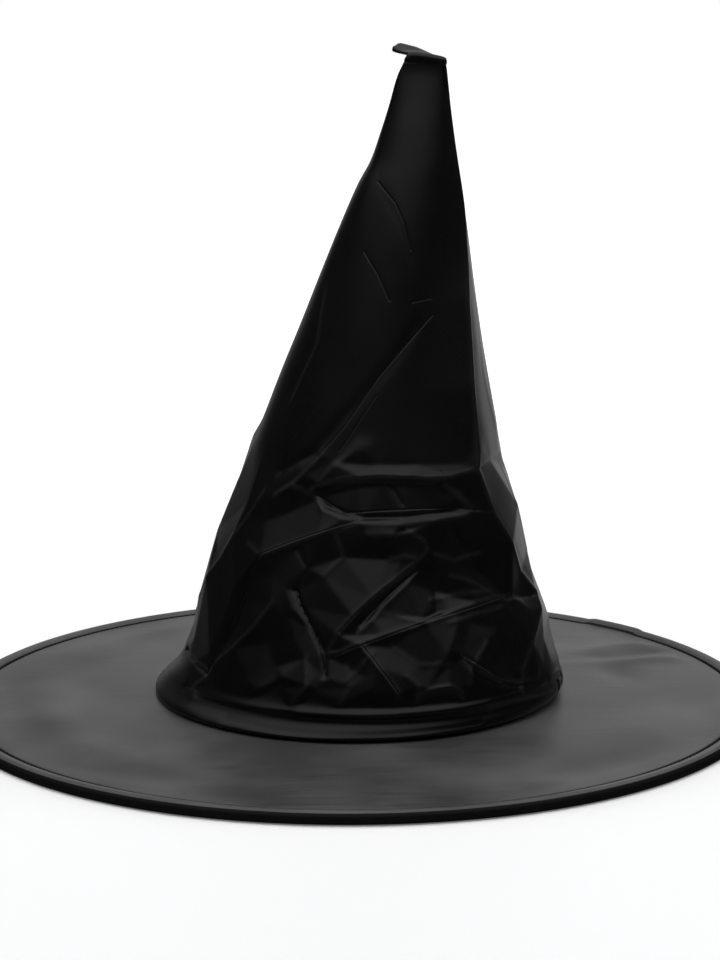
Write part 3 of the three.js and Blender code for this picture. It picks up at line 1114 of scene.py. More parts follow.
    foot: tuple[Crease, ...] = (
        Crease(((72, 8.4, 0), (74, 12.4, 0), (73, 17, 0)), -1.2, 1.6, False),
        Crease(((77, 8.4, 0), (78.4, 13, 0), (81, 18, 0)), -1.0, 1.6, False),
        Crease(((83, 8.4, 0), (84, 11.6, 0), (88, 15, 0)), -0.9, 1.6, False),
        Crease(((36, 17.4, 0), (44, 18.6, 0), (54, 17.8, 0), (66, 16.4, 0), (80, 16, 0)),
               0.45, 1.4, False),
        Crease(((-66, 20, 0), (-50, 20, 0), (-34, 20, 0), (-22, 20, 0)), -0.7, 3.6, False),
        Crease(((38, 20, 0), (52, 20, 0), (66, 20, 0)), -0.5, 3.4, False),
        Crease(((-58, 27.6, 0), (-70, 29.2, 0), (-84, 30, 0)), -0.9, 2.0, False),
        Crease(((-57.6, 28, 0), (-59, 24.4, 0), (-62, 20, 0), (-56, 16.6, 0)), 0.6, 2.4, False),
        Crease(((-40, 13, 0), (-28, 12.6, 0), (-12, 12, 0), (6, 12, 0), (22, 12.4, 0),
                (34, 12.6, 0)), -0.35, 2.4, False),
        Crease(((180, 8.4, 0), (180, 303, 0)), -0.55, 1.5, False),
    )
    back_heights: tuple[float, ...] = (30, 44, 58, 72, 86, 99, 112, 124)
    back_start: float = 104.0
    back_step: float = 18.4
    back_columns: int = 9
    back_shift: float = 9.0
    back_uneven: Pair = (4.5, 5.0)
    back_push: float = 1.7
    back_pinches: tuple[float, ...] = (-0.5, 0.0, 0.35, 0.5)
    back_spread: float = 2.2
    back_run: int = 4
    margin_heights: Pair = (22.5, 136.0)
    margin_step: int = 12
    seed: int = 11

    def drawn(self) -> tuple[Crease, ...]:
        """All the creases that are drawn one by one."""
        groups = (self.waist, self.belly, self.left_side, self.corner, self.upper, self.foot)
        return tuple(crease for group in groups for crease in group)

    def behind(self) -> tuple[Crease, ...]:
        """Crushed creases for the part of the crown that faces away from the front.

        Every row of points is a zigzag, and one stretch of it is a sharp crease.

        Returns:
            The creases from the right-hand side, round the back, to the left-hand side.
        """
        rng = random.Random(self.seed)
        made = []
        turn, rise = self.back_uneven
        for row, height in enumerate(self.back_heights):
            first = self.back_start + (self.back_shift if row % 2 else 0.0)
            points = []
            for column in range(self.back_columns):
                bearing = first + self.back_step * column + rng.uniform(-turn, turn)
                lift = height + rng.uniform(-rise, rise)
                points.append((bearing, lift, rng.uniform(-1.0, 1.0) * self.back_push))
            start = rng.randrange(0, 3)
            end = start + self.back_run
            pinch = rng.choice(self.back_pinches)
            made.append(Crease(tuple(points[: start + 1])))
            made.append(Crease(tuple(points[start : end + 1]), pinch, self.back_spread))
            made.append(Crease(tuple(points[end:])))
        return tuple(made)

    def margins(self) -> tuple[Crease, ...]:
        """Level rings where the crushed zone meets the foot and the smooth upper crown."""
        bearings = range(-180, 180, self.margin_step)
        return tuple(Crease(((b, z, 0.0),)) for z in self.margin_heights for b in bearings)


# ---------------------------------------------------------------- the crown's cloth


@dataclass
class CrownCloth:
    """The crown's single cloth: a closed cone, crushed below and smooth above.

    Its outer face is a grid of columns, which are closer together in front, and rows, given
    as (from height, to height, count). The facet share says how flat the cloth is between
    its creases, and the four facet heights are where that fades in and out. The push shares
    and the push heights lessen the pushes near the foot. The arc widths are the length of
    one degree round the crown, in mm, at the foot and at the top. A wave is (height in mm,
    waves round the crown, mm of height for each radian of slant, start): the swells are on
    the body of the crown and the rolls on its foot, each between its own four heights.
    """

    form: CrownForm = field(default_factory=CrownForm)
    creases: Creases = field(default_factory=Creases)
    finish: Finish = Finishes().crown
    thickness: float = 0.7
    front_bearing: float = 100.0
    front_columns: int = 284
    back_columns: int = 70
    rows: Points = ((8.4, 30.0, 27), (30.0, 130.0, 122), (130.0, 303.5, 71))
    facet: float = 0.9
    facet_heights: Limits = (22.5, 32.0, 116.0, 136.0)
    push_shares: Pair = (0.7, 1.3)
    push_heights: Pair = (32.0, 54.0)
    ridge_share: float = 0.7
    groove_share: float = 1.3
    arc_widths: Pair = (1.66, 0.16)
    net_width: float = 1.25
    net_overlap: float = 270.0
    net_weld: float = 0.4
    longest_edge: float = 120.0
    neighbours: int = 4
    rounding: float = 0.2
    sharp_spread: float = 4.0
    wear_width: float = 1.6
    swells: Points = ((0.12, 3, 23.0, 0.0), (0.12, 5, -17.0, 1.3), (0.08, 9, 11.0, 0.4))
    swell_heights: Limits = (24.0, 40.0, 240.0, 300.0)
    rolls: Points = ((0.3, 7, math.inf, 0.6), (0.2, 13, math.inf, 2.1))
    roll_heights: Limits = (9.0, 13.0, 18.0, 24.0)
    softening: float = 0.8
    soft_start: float = 0.4
    soft_width: float = 2.2
    soft_least: float = 0.05
    bearings: np.ndarray = field(init=False)
    heights: np.ndarray = field(init=False)
    grid: np.ndarray = field(init=False)
    fold: np.ndarray = field(init=False)

    def __post_init__(self) -> None:
        """Works out the cloth's outer face."""
        self.bearings = self._columns()
        steps = [np.linspace(a, b, int(n) + 1)[:-1] for a, b, n in self.rows]
        self.heights = np.concatenate([*steps, [self.form.top]])
        bearing, height = np.meshgrid(self.bearings, self.heights)
        smooth = self.form.surface(bearing, height)
        out = self.form.outward(bearing, height)
        push, flat = self._facets(bearing, height, smooth)
        share = (faded(height, self.facet_heights) * self.facet)[..., None]
        points = (smooth + out * push[..., None]) * (1 - share) + flat * share
        rise, near, self.fold = self._pinches(bearing, height)
        points = points + out * (rise + self._swell(bearing, height))[..., None]
        self.grid = self._softened(points, near)

    def _columns(self) -> np.ndarray:
        """Bearings of the columns, close together in front and wider apart behind.

        Returns:
            The bearings, rising.
        """
        edge = self.front_bearing
        front = np.linspace(-edge, edge, self.front_columns + 1)[:-1]
        back = np.linspace(edge, 360.0 - edge, self.back_columns + 1)[:-1]
        return np.concatenate([front, back])

    def _pressed(self) -> tuple[list[Pair], list[float], list[tuple[int, int]]]:
        """Lays the creases out flat, with a copy to either side so that the net closes.

        Returns:
            The spots (across, height) in mm, their pushes, and the edges between them.
        """
        spots: list[Pair] = []
        pushes: list[float] = []
        edges: list[tuple[int, int]] = []
        lines = [crease for crease in self.creases.drawn() if crease.net]
        lines += [*self.creases.behind(), *self.creases.margins()]
        for turn in (-360.0, 0.0, 360.0):
            for crease in lines:
                last = -1
                for bearing, level, push in crease.points:
                    at = wrapped(bearing) + turn
                    if abs(at) > self.net_overlap:
                        last = -1
                        continue
                    here = len(spots)
                    spots.append((at * self.net_width, level))
                    pushes.append(push * np.interp(level, self.push_heights, self.push_shares))
                    if last >= 0 and abs(spots[last][0] - spots[here][0]) < self.longest_edge:
                        edges.append((last, here))
                    last = here
        return spots, pushes, edges

    def _net(self) -> tuple[np.ndarray, list[list[int]], np.ndarray]:
        """Joins the creases up into a net of triangles.

        Returns:
            The net's points (across, height) in mm, its triangles, and the points' pushes.
        """
        spots, pushes, edges = self._pressed()
        vectors = [Vector(spot) for spot in spots]
        made = delaunay_2d_cdt(vectors, edges, [], 0, self.net_weld, True)
        net = np.array([tuple(v) for v in made[0]])
        known, values = np.array(spots), np.array(pushes)
        lift = np.zeros(len(net))
        for i, origin in enumerate(made[3]):
            if origin:
                lift[i] = values[list(origin)].mean()
                continue
            away = np.linalg.norm(known - net[i], axis=1)
            close = np.argsort(away)[: self.neighbours]
            weight = 1.0 / np.maximum(away[close], 0.1)
            lift[i] = (values[close] * weight).sum() / weight.sum()
        return net, made[2], lift

    def _facets(
        self, bearing: np.ndarray, height: np.ndarray, smooth: np.ndarray
    ) -> tuple[np.ndarray, np.ndarray]:
        """Stretches the cloth in flat facets between its creases.

        Args:
            bearing: the grid's bearings.
            height: the grid's heights.
            smooth: the smooth form's points there.

        Returns:
            The push at every point, and the points on flat facets.
        """
        net, faces, lift = self._net()
        anchors = self.form.surface(net[:, 0] / self.net_width, net[:, 1])
        out = self.form.outward(net[:, 0] / self.net_width, net[:, 1])
        anchors = anchors + out * lift[:, None]
        across = wrapped(bearing) * self.net_width
        push = np.zeros_like(height)
        flat = smooth.copy()
        for face in faces:
            a, b, c = corner = net[list(face[:3])]
            low, high = corner.min(0) - 0.01, corner.max(0) + 0.01
            near = (across >= low[0]) & (across <= high[0])
            near &= (height >= low[1]) & (height <= high[1])
            area = (b[0] - a[0]) * (c[1] - a[1]) - (c[0] - a[0]) * (b[1] - a[1])
            if abs(area) < TINY or not near.any():
                continue
            x, y = across[near] - a[0], height[near] - a[1]
            wb = (x * (c[1] - a[1]) - y * (c[0] - a[0])) / area
            wc = (y * (b[0] - a[0]) - x * (b[1] - a[1])) / area
            weights = np.stack([1.0 - wb - wc, wb, wc], 1)
            inside = (weights > -1e-6).all(1)
            rows, columns = (index[inside] for index in np.nonzero(near))
            push[rows, columns] = weights[inside] @ lift[list(face[:3])]
            flat[rows, columns] = weights[inside] @ anchors[list(face[:3])]
        return push, flat

    def _away(self, crease: Crease, bearing: np.ndarray, height: np.ndarray) -> np.ndarray:
        """How far each point is from a crease.

        Args:
            crease: the crease.
            bearing: the grid's bearings.
            height: the grid's heights.

        Returns:
            The distances in mm, along the cloth.
        """
        width = np.interp(height, (self.form.foot, self.form.top), self.arc_widths)
        away = np.full_like(height, FAR)
        for (b0, z0, _), (b1, z1, _) in zip(crease.points[:-1], crease.points[1:]):
            x, y = wrapped(bearing - b0) * width, height - z0
            dx, dz = (b1 - b0) * width, z1 - z0
            t = np.clip((x * dx + y * dz) / (dx * dx + dz * dz), 0.0, 1.0)
            away = np.minimum(away, np.hypot(x - t * dx, y - t * dz))
        return away

    def _pinches(
        self, bearing: np.ndarray, height: np.ndarray
    ) -> tuple[np.ndarray, np.ndarray, np.ndarray]:
        """Raises or sinks the fold lines, and wears the raised ones.

        Args:
            bearing: the grid's bearings.
            height: the grid's heights.

        Returns:
            The rise in mm, the distance in mm to the nearest sharp crease, and the wear.
        """
        rise, wear = np.zeros_like(height), np.zeros_like(height)
        near = np.full_like(height, FAR)
        for crease in (*self.creases.drawn(), *self.creases.behind()):
            if crease.pinch == 0.0 or len(crease.points) < 2:
                continue
            away = self._away(crease, bearing, height)
            rounded = np.hypot(away, self.rounding) - self.rounding
            share = self.ridge_share if crease.pinch > 0.0 else self.groove_share
            rise += share * crease.pinch * np.clip(1.0 - rounded / crease.spread, 0.0, 1.0) ** 2
            if crease.spread < self.sharp_spread:
                near = np.minimum(near, away)
            if crease.pinch > 0.0:
                wear = np.maximum(wear, np.clip(1.0 - away / self.wear_width, 0.0, 1.0))
        return rise, near, wear

    def _swell(self, bearing: np.ndarray, height: np.ndarray) -> np.ndarray:
        """Slow waves of the cloth, so that no stretch of it is quite even.

        Args:
            bearing: the grid's bearings.
            height: the grid's heights.

        Returns:
            The rise in mm.
        """
        angle = np.radians(bearing)
        body, foot = (
            sum(rise * np.sin(count * angle + height / slant + start)
                for rise, count, slant, start in waves)
            for waves in (self.swells, self.rolls)
        )
        on_body, on_foot = faded(height, self.swell_heights), faded(height, self.roll_heights)
        return body * on_body + foot * on_foot

    def _softened(self, points: np.ndarray, near: np.ndarray) -> np.ndarray:
        """Evens the cloth out a little, except along its sharp creases.

        Args:
            points: the grid's points.
            near: their distance from the nearest sharp crease, in mm.

        Returns:
            The evened points.
        """
        soft = np.clip((near - self.soft_start) / self.soft_width, self.soft_least, 1.0)
        mean = points.copy()
        mean[1:-1] = (points[:-2] + points[2:]) / 4
        mean[1:-1] += (np.roll(points, 1, 1) + np.roll(points, -1, 1))[1:-1] / 4
        return points + (mean - points) * (soft[..., None] * self.softening)

    def inward(self) -> np.ndarray:
        """Unit directions from the outer face into the cloth.

        Returns:
            The directions.
        """
        round_ = np.roll(self.grid, -1, 1) - np.roll(self.grid, 1, 1)
        up = np.gradient(self.grid, axis=0)
        return unit(-np.cross(round_, up))

    def inside(self, bearing: np.ndarray, height: np.ndarray, depth: float) -> np.ndarray:
        """Points inside the crown, level with its cloth.

        Args:
            bearing: bearings in degrees.
            height: heights in mm.
            depth: how far inside the outer face they lie, in mm.

        Returns:
            The points in mm.
        """
        turned = (bearing + self.front_bearing) % 360.0 - self.front_bearing
        columns = np.append(self.bearings, self.bearings[0] + 360.0)
        i, s = between(columns, turned)
        j, t = between(self.heights, height)
        k = (i + 1) % len(self.bearings)
        into = self.inward() * np.array([1.0, 1.0, 0.0])
        layer = self.grid + into * depth
        low = layer[j, i] * (1 - s) + layer[j, k] * s
        high = layer[j + 1, i] * (1 - s) + layer[j + 1, k] * s
        return low * (1 - t) + high * t

    def build(self) -> bpy.types.Object:
        """Makes the crown cloth's closed mesh.

        Returns:
            The crown cloth.
        """
        into = self.inward() * self.thickness
        inner = (self.grid + into)[::2, ::2]
        rows, columns = self.grid.shape[:2]
        half_rows, half_columns = inner.shape[:2]
        start = rows * columns
        faces: list[tuple[int, ...]] = []
        cut: list[Pair] = []

        def add(spots: list[tuple[int, int, int]]) -> None:
            """Adds a face.

            Args:
                spots: its (layer, row, column) corners, the column counted on past the seam.
            """
            face = []
            for layer, row, column in spots:
                if layer == 0:
                    face.append(row * columns + column % columns)
                    place = column
                else:
                    face.append(start + row * half_columns + column % half_columns)
                    place, row = column * 2, row * 2
                bearing = self.bearings[place % columns] + 360.0 * (place // columns)
                cut.append(cut_spot(bearing - 180.0, self.heights[row]))
            faces.append(tuple(face))

        for r in range(rows - 1):
            for c in range(columns):
                add([(0, r, c), (0, r, c + 1), (0, r + 1, c + 1), (0, r + 1, c)])
        for r in range(half_rows - 1):
            for c in range(half_columns):
                add([(1, r, c), (1, r + 1, c), (1, r + 1, c + 1), (1, r, c + 1)])
        top, inner_top = rows - 1, half_rows - 1
        for c in range(half_columns):
            d = 2 * c
            add([(0, 0, d + 2), (0, 0, d + 1), (0, 0, d), (1, 0, c), (1, 0, c + 1)])
            outer = [(0, top, d), (0, top, d + 1), (0, top, d + 2)]
            add([*outer, (1, inner_top, c + 1), (1, inner_top, c)])
        points = np.concatenate([self.grid.reshape(-1, 3), inner.reshape(-1, 3)])
        piece = make_piece("crown_cloth", points, faces, self.finish, cut)
        worn = piece.data.attributes.new(WEAR_LAYER, "FLOAT", "POINT")
        values = np.concatenate([self.fold.ravel(), self.fold[::2, ::2].ravel()])
        worn.data.foreach_set("value", values.astype(np.float32))
        return report(piece)

    def dress(self, piece: bpy.types.Object) -> None:
        """Hides the CAD nodes that the cloth stands for, and bakes its place into its mesh.

        Args:
            piece: the finished piece.
        """
        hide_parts("crown_lower", "crown_fold_zone", "crown_upper")
        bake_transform(piece)


# ---------------------------------------------------------------- the folded tip


@dataclass
class TipFlap:
    """The flattened end of the cone, folded over to the back and left open.

    Each station is (left x, left y, left z, right x, right y, right z, half thickness,
    tilt, curl): the two edges of the flattened tube in mm, how far the thin direction has
    turned from level to upright in degrees, and how much thicker the left edge is. The
    roll's numbers say how its open end rolls in on itself, ring by ring: how far back each
    ring lies, as a share of the flap, how much smaller it is, and how far it has turned.
    """

    finish: Finish = Finishes().crown
    stations: Points = (
        (24.4, 0.0, 302.4, 42.8, 0.0, 300.4, 1.5, 4, 0),
        (24.7, 0.0, 303.4, 43.2, 0.0, 301.4, 1.75, 10, 0),
        (25.6, 0.1, 304.9, 43.2, 0.1, 302.4, 1.7, 24, 0),
        (26.0, 0.8, 305.7, 43.0, 0.8, 303.2, 1.2, 58, 0),
        (25.0, 2.8, 305.9, 41.8, 3.2, 303.5, 0.75, 80, 0),
        (23.7, 5.8, 306.0, 38.6, 7.4, 304.2, 0.6, 82, 0.1),
        (22.2, 8.6, 306.3, 34.6, 12.0, 305.9, 0.7, 78, 0.3),
        (20.9, 10.6, 306.6, 30.3, 15.6, 307.7, 0.8, 72, 0.6),
        (19.9, 12.0, 307.0, 26.0, 18.4, 308.7, 0.9, 66, 0.9),
        (19.2, 13.0, 307.4, 22.6, 20.4, 309.3, 1.0, 60, 1.2),
    )
    around: int = 36
    steps: int = 46
    thickness: float = 0.45
    flatness: float = 0.75
    ripple: float = 0.1
    roll_rings: int = 9
    roll_back: float = 0.02
    roll_size: float = 0.93
    roll_shrink: float = 0.05
    roll_twist: float = 12.0
    cut_steps: Pair = (1.1, 0.6)

    def _ring(self, along: float, shrink: float, twist: float) -> np.ndarray:
        """One ring of the flattened tube.

        Args:
            along: its place, from 0 at the crown to 1 at the open end.
            shrink: how much of its size it has.
            twist: how far it is turned about its own middle, in degrees.

        Returns:
            The ring's points in mm.
        """
        table = np.array(self.stations, float)
        place = along * (len(table) - 1)
        row = np.array([np.interp(place, np.arange(len(table)), column) for column in table.T])
        left, right, half, tilt, curl = row[:3], row[3:6], row[6], math.radians(row[7]), row[8]
        middle, span = (left + right) / 2, (right - left) / 2
        side = span / np.linalg.norm(span)
        thin = np.array([0.0, -math.cos(tilt), math.sin(tilt)])
        thin = thin - side * (thin @ side)
        thin = thin / np.linalg.norm(thin)
        angle = np.radians(np.arange(self.around) * 360.0 / self.around + twist)
        flat_cos = np.sign(np.cos(angle)) * np.abs(np.cos(angle)) ** self.flatness
        ripple = 1.0 + self.ripple * np.sin(3 * angle + 5.0 * along)
        ripple = ripple * (1.0 + curl * np.clip(-np.cos(angle) - 0.3, 0.0, 1.0))
        reach = np.linalg.norm(span) * shrink
        return (
            middle
            + side * (reach * flat_cos)[:, None]
            + thin * (half * shrink * ripple * np.sin(angle))[:, None]
        )

    def build(self) -> bpy.types.Object:
        """Makes the flap: the outer tube, and its cut end rolled in on itself.

        Returns:
            The flap.
        """
        rings = [self._ring(k / self.steps, 1.0, 0.0) for k in range(self.steps + 1)]
        for k in range(1, self.roll_rings + 1):
            size = self.roll_size - self.roll_shrink * k
            rings.append(self._ring(1.0 - self.roll_back * k, size, self.roll_twist * k))
        points = np.array(rings)
        across, down = in_metres(self.cut_steps)
        faces = []
        cut = []
        for r in range(len(points) - 1):
            for c in range(self.around):
                d = (c + 1) % self.around
                a, b = r * self.around, (r + 1) * self.around
                faces.append((a + c, a + d, b + d, b + c))
                for column, row in ((c, r), (c + 1, r), (c + 1, r + 1), (c, r + 1)):
                    cut.append((column * across, row * down))
        piece = make_piece("tip_flap", points, faces, self.finish, cut)
        thicken(piece, self.thickness)
        return report(plain_copy(piece, "tip_flap"))

    def dress(self, piece: bpy.types.Object) -> None:
        """Hides the CAD node that the flap stands for, and bakes its place into its mesh.

        Args:
            piece: the finished piece.
        """
        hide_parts("crown_tip")
        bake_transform(piece)


# ---------------------------------------------------------------- the brim


@dataclass(frozen=True)
class Dent:
    """A shallow dent or swelling of the brim.

    The angle is counted from the right-hand side (+X) towards the back. The other sizes
    are in mm.
    """

    angle: float
    radius: float
    along: float
    across: float
    depth: float


@dataclass(frozen=True)
class Station:
    """A bend in a brim layer's section, and how many rows lead up to it."""

    name: str
    radius: float
    height: float
    rows: int = 0


class Layer(Enum):
    """The brim's layers, from the top down."""

    TOP = "brim_top"
    STIFFENER = "brim_stiffener"
    UNDER = "brim_under"


@dataclass
class BrimLayer:
    """One cloth of the brim, a ring with a bent section, made by a geometry tree.

    The painted shade finish is a darker cloth colour for the shade on the rim's outer face,
    beyond the edge radius and below the edge height, and in the groove that the stitches
    lie in. The sleeve lifts the cloth at its angle, which is counted from +X towards the
    back, as far as its half length to either side. Where a size is a pair, what it limits
    fades in from the first to the second. Sizes are in mm.
    """

    layer: Layer
    stations: tuple[Station, ...]
    finish: Finish
    columns: int
    thickness: float
    # painted shade: the darker finish on the rim's outer face and in the stitch groove
    edge_finish: Finish
    edge_radius: float = 189.2
    edge_height: float = 3.7
    groove_radius: float = 182.4
    groove_half_width: float = 1.15
    sleeve_lift: float = 0.0
    sleeve_angle: float = 43.0
    sleeve_half_length: Pair = (14.5, 19.0)
    sleeve_radius: Pair = (179.5, 183.5)
    sleeve_height: Pair = (3.0, 4.5)
    sleeve_side: Pair = (0.0, 50.0)
    dent_share: float = 2.6
    dent_start: float = 16.0
    dent_end: Pair = (168.0, 180.0)
    weld: float = 0.02
    dents: tuple[Dent, ...] = tuple(
        Dent(*sizes)
        for sizes in (
            (189, 160, 46, 13, -0.9), (200, 148, 26, 12, 0.8), (178, 128, 24, 11, -0.8),
            (21, 158, 7, 26, 0.55), (26.5, 156, 6, 28, -0.6), (32, 160, 7, 24, 0.6),
            (12, 132, 20, 10, -0.6), (222, 152, 40, 14, 0.6), (248, 158, 52, 11, -0.55),
            (284, 140, 48, 14, 0.5), (306, 160, 42, 11, -0.6), (330, 146, 34, 16, 0.6),
            (350, 160, 26, 11, -0.5), (52, 134, 34, 15, -0.6), (76, 156, 44, 13, 0.6),
            (104, 140, 46, 15, -0.6), (134, 156, 38, 12, 0.6), (158, 138, 30, 14, -0.5),
        )
    )

    def _inputs(self) -> dict[str, tuple[str, Any]]:
        """The socket type and the value of each of the tree's named inputs.

        Returns:
            The inputs, by name.
        """
        wanted: dict[str, tuple[str, Any]] = {
            "Columns": ("NodeSocketInt", self.columns + 1),
            "Dent Share": ("NodeSocketFloat", self.dent_share),
            "Sleeve Lift": ("NodeSocketFloat", self.sleeve_lift * MM),
            "Sleeve Angle": ("NodeSocketFloat", math.radians(self.sleeve_angle)),
            "Finish": ("NodeSocketMaterial", self.finish.material()),
            "Edge Radius": ("NodeSocketFloat", self.edge_radius * MM),
            "Edge Height": ("NodeSocketFloat", self.edge_height * MM),
            "Groove Radius": ("NodeSocketFloat", self.groove_radius * MM),
            "Edge Finish": ("NodeSocketMaterial", self.edge_finish.material()),
        }
        for station in self.stations:
            wanted[station.name + " Radius"] = ("NodeSocketFloat", station.radius * MM)
            wanted[station.name + " Height"] = ("NodeSocketFloat", station.height * MM)
        return wanted

    def _section(self, row: Sock, given: dict[str, Sock]) -> tuple[Sock, Sock]:
        """The bent section.

        Args:
            row: how many rows a point is from the opening.
            given: the tree's inputs.

        Returns:
            The radius and the height there.
        """
        first = self.stations[0].name
        radius, height, done = given[first + " Radius"], given[first + " Height"], 0
        for before, station in zip(self.stations[:-1], self.stations[1:]):
            share = ((row - float(done)) / float(station.rows)).clamp()
            rise, way = (
                given[station.name + part] - given[before.name + part]
                for part in (" Height", " Radius")
            )
            radius, height = radius + way * share, height + rise * share
            done += station.rows
        return radius, height

    def _dented(self, x: Sock, y: Sock, radius: Sock) -> Sock:
        """The dents' height at a place, held level at the crown and at the hoop.

        Args:
            x: the place along X.
            y: the place along Y.
            radius: the place's radius.

        Returns:
            The height.
        """
        total: Sock | float = 0.0
        for dent in self.dents:
            turn = math.radians(dent.angle)
            out = (x * math.cos(turn) + y * math.sin(turn) - dent.radius * MM) / (dent.across * MM)
            side = (y * math.cos(turn) - x * math.sin(turn)) / (dent.along * MM)
            total = (-(out * out + side * side)).exp() * (dent.depth * MM) + total
        first = self.stations[0].radius * MM
        start = radius.smooth(first, first + self.dent_start * MM)
        return total * (start * (1.0 - radius.smooth(*in_metres(self.dent_end))))

    def _lump(self, x: Sock, y: Sock, radius: Sock, height: Sock, angle: Sock) -> Sock:
        """How much of the sleeve's lift there is at a place, from 0 to 1.

        Args:
            x: the place along X.
            y: the place along Y.
            radius: the place's radius.
            height: the cloth's height there.
            angle: the sleeve's angle.

        Returns:
            The share.
        """
        side = (y * angle.cos() - x * angle.sin()).size()
        toward = (x * angle.cos() + y * angle.sin()).smooth(*in_metres(self.sleeve_side))
        lump = (1.0 - side.smooth(*in_metres(self.sleeve_half_length))) * toward
        at_rim = radius.smooth(*in_metres(self.sleeve_radius))
        return lump * (at_rim * height.smooth(*in_metres(self.sleeve_height)))

    def _edge(self, graph: Graph, given: dict[str, Sock]) -> Sock:
        """Where the painted shade goes, on the rim's outer face and along the stitch groove: above
        a half there, and below it elsewhere.

        Args:
            graph: the tree's graph.
            given: the tree's inputs.

        Returns:
            The choice.
        """
        x, y, z = graph.parts(graph.out(graph.add("GeometryNodeInputPosition")))
        radius = (x * x + y * y) ** 0.5
        # painted shade: the rim's outer face below the edge height, and a band along the stitch
        # groove
        face = radius.above(given["Edge Radius"]) * (1.0 - z.above(given["Edge Height"]))
        off_groove = (radius - given["Groove Radius"]).size() - self.groove_half_width * MM
        return face + (1.0 - off_groove.above(0.0))

    def _tree(self) -> ShapeTree:
        """Builds the layer's geometry tree.

        Returns:
            The tree.
        """
        shape = ShapeTree(self.layer.value + "_shape", self._inputs())
        graph, given = shape.graph, shape.given
        rows = sum(station.rows for station in self.stations)
        size = {"Size X": 1.0, "Size Y": 1.0, "Vertices X": given["Columns"]}
        sheet = graph.add("GeometryNodeMeshGrid", None, {**size, "Vertices Y": rows + 1})
        across, along, _ = graph.parts(graph.out(graph.add("GeometryNodeInputPosition")))
        angle = (across + 0.5) * (-2 * math.pi)
        radius, height = self._section((along + 0.5) * float(rows), given)
        x, y = radius * angle.cos(), radius * angle.sin()
        height = height + self._dented(x, y, radius) * given["Dent Share"]
        lump = self._lump(x, y, radius, height, given["Sleeve Angle"])
        height = height + lump * given["Sleeve Lift"]
        spot = {"Geometry": graph.out(sheet), "Position": graph.vector(x, y, height)}
        placed = graph.add("GeometryNodeSetPosition", None, spot)
        weld = {"Geometry": graph.out(placed), "Distance": self.weld * MM}
        joined = graph.add("GeometryNodeMergeByDistance", None, weld)
        painted = shape.painted(graph.out(joined), given["Finish"])
        # painted shade: the dark finish on the rim's outer face and in the stitch groove
        edge = {"Selection": self._edge(graph, given).above(0.5), "Material": given["Edge Finish"]}
        with_painted_shade = graph.add("GeometryNodeSetMaterial", None, {**edge, "Geometry": painted})
        shape.end(graph.out(with_painted_shade))
        return shape

    def build(self) -> bpy.types.Object:
        """Makes the layer's closed mesh.

        Returns:
            The layer.
        """
        holder = linked("holder", bpy.data.meshes.new("holder"))
        self._tree().put_on(holder)
        thicken(holder, self.thickness)
        return report(plain_copy(holder, self.layer.value))


@dataclass
class Brim:
    """The brim: a top cloth with the rim channel, a stiffener and an under cloth."""

    finishes: Finishes = field(default_factory=Finishes)
    body: Body = Body.LOWER
    stitch_radius: float = 182.4
    top_stitches: float = 3.95
    under_stitches: float = 1.85

    def _top(self) -> BrimLayer:
        """The top cloth, whose edge wraps the hoop.

        Returns:
            The layer.
        """
        stations = (
            Station("Opening", 92.9, 8.2),
            Station("Before Stitch", 181.3, 4.3, 56),
            Station("Stitch", self.stitch_radius, 3.75, 2),
            Station("After Stitch", 183.4, 4.5, 2),
            Station("Shoulder", 185.0, 5.4, 4),
            Station("Crest", 187.6, 5.75, 4),
            Station("Edge", 189.2, 5.0, 3),
            Station("Outer Face", 190.0, 3.6, 3),
            Station("Lower Face", 190.0, 1.0, 4),
            Station("Foot", 189.6, 0.25, 2),
            Station("Turn", 188.7, 0.02, 2),
            Station("Fold Under", 187.1, 0.02, 2),
        )
        looks = self.finishes
        # the top cloth's rim finish is the painted shade on its outer face and in its stitch groove
        return BrimLayer(
            Layer.TOP, stations, looks.brim, 480, 0.6, looks.rim_painted_shade, sleeve_lift=0.8
        )

    def _stiffener(self) -> BrimLayer:
        """The stiffener, which ends before the rim channel.

        Returns:
            The layer.
        """
        stations = (Station("Opening", 92.9, 7.15), Station("Edge", 174.5, 3.35, 34))
        stiffener = self.finishes.stiffener
        return BrimLayer(Layer.STIFFENER, stations, stiffener, 180, 0.6, stiffener)

    def _under(self) -> BrimLayer:
        """The under cloth, which meets the turned edge of the top cloth.

        Returns:
            The layer.
        """
        stations = (
            Station("Opening", 92.9, 6.1),
            Station("Before Stitch", 181.3, 2.15, 44),
            Station("Stitch", self.stitch_radius, 2.55, 2),
            Station("After Stitch", 183.5, 1.85, 2),
            Station("Slope", 185.2, 0.95, 3),
            Station("Edge", 186.6, 0.68, 3),
        )
        return BrimLayer(Layer.UNDER, stations, self.finishes.brim, 320, 0.6, self.finishes.brim)

    def build(self) -> None:
        """Makes and dresses the three layers."""
        top = self._top().build()
        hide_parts("brim_top_cloth")
        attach(top, self.body.value)
        stiffener = self._stiffener().build()
        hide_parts("brim_interlining")
        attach(stiffener, self.body.value)
        under = self._under().build()
        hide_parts("brim_under_cloth")
        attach(under, self.body.value)


# ---------------------------------------------------------------- inside the crown


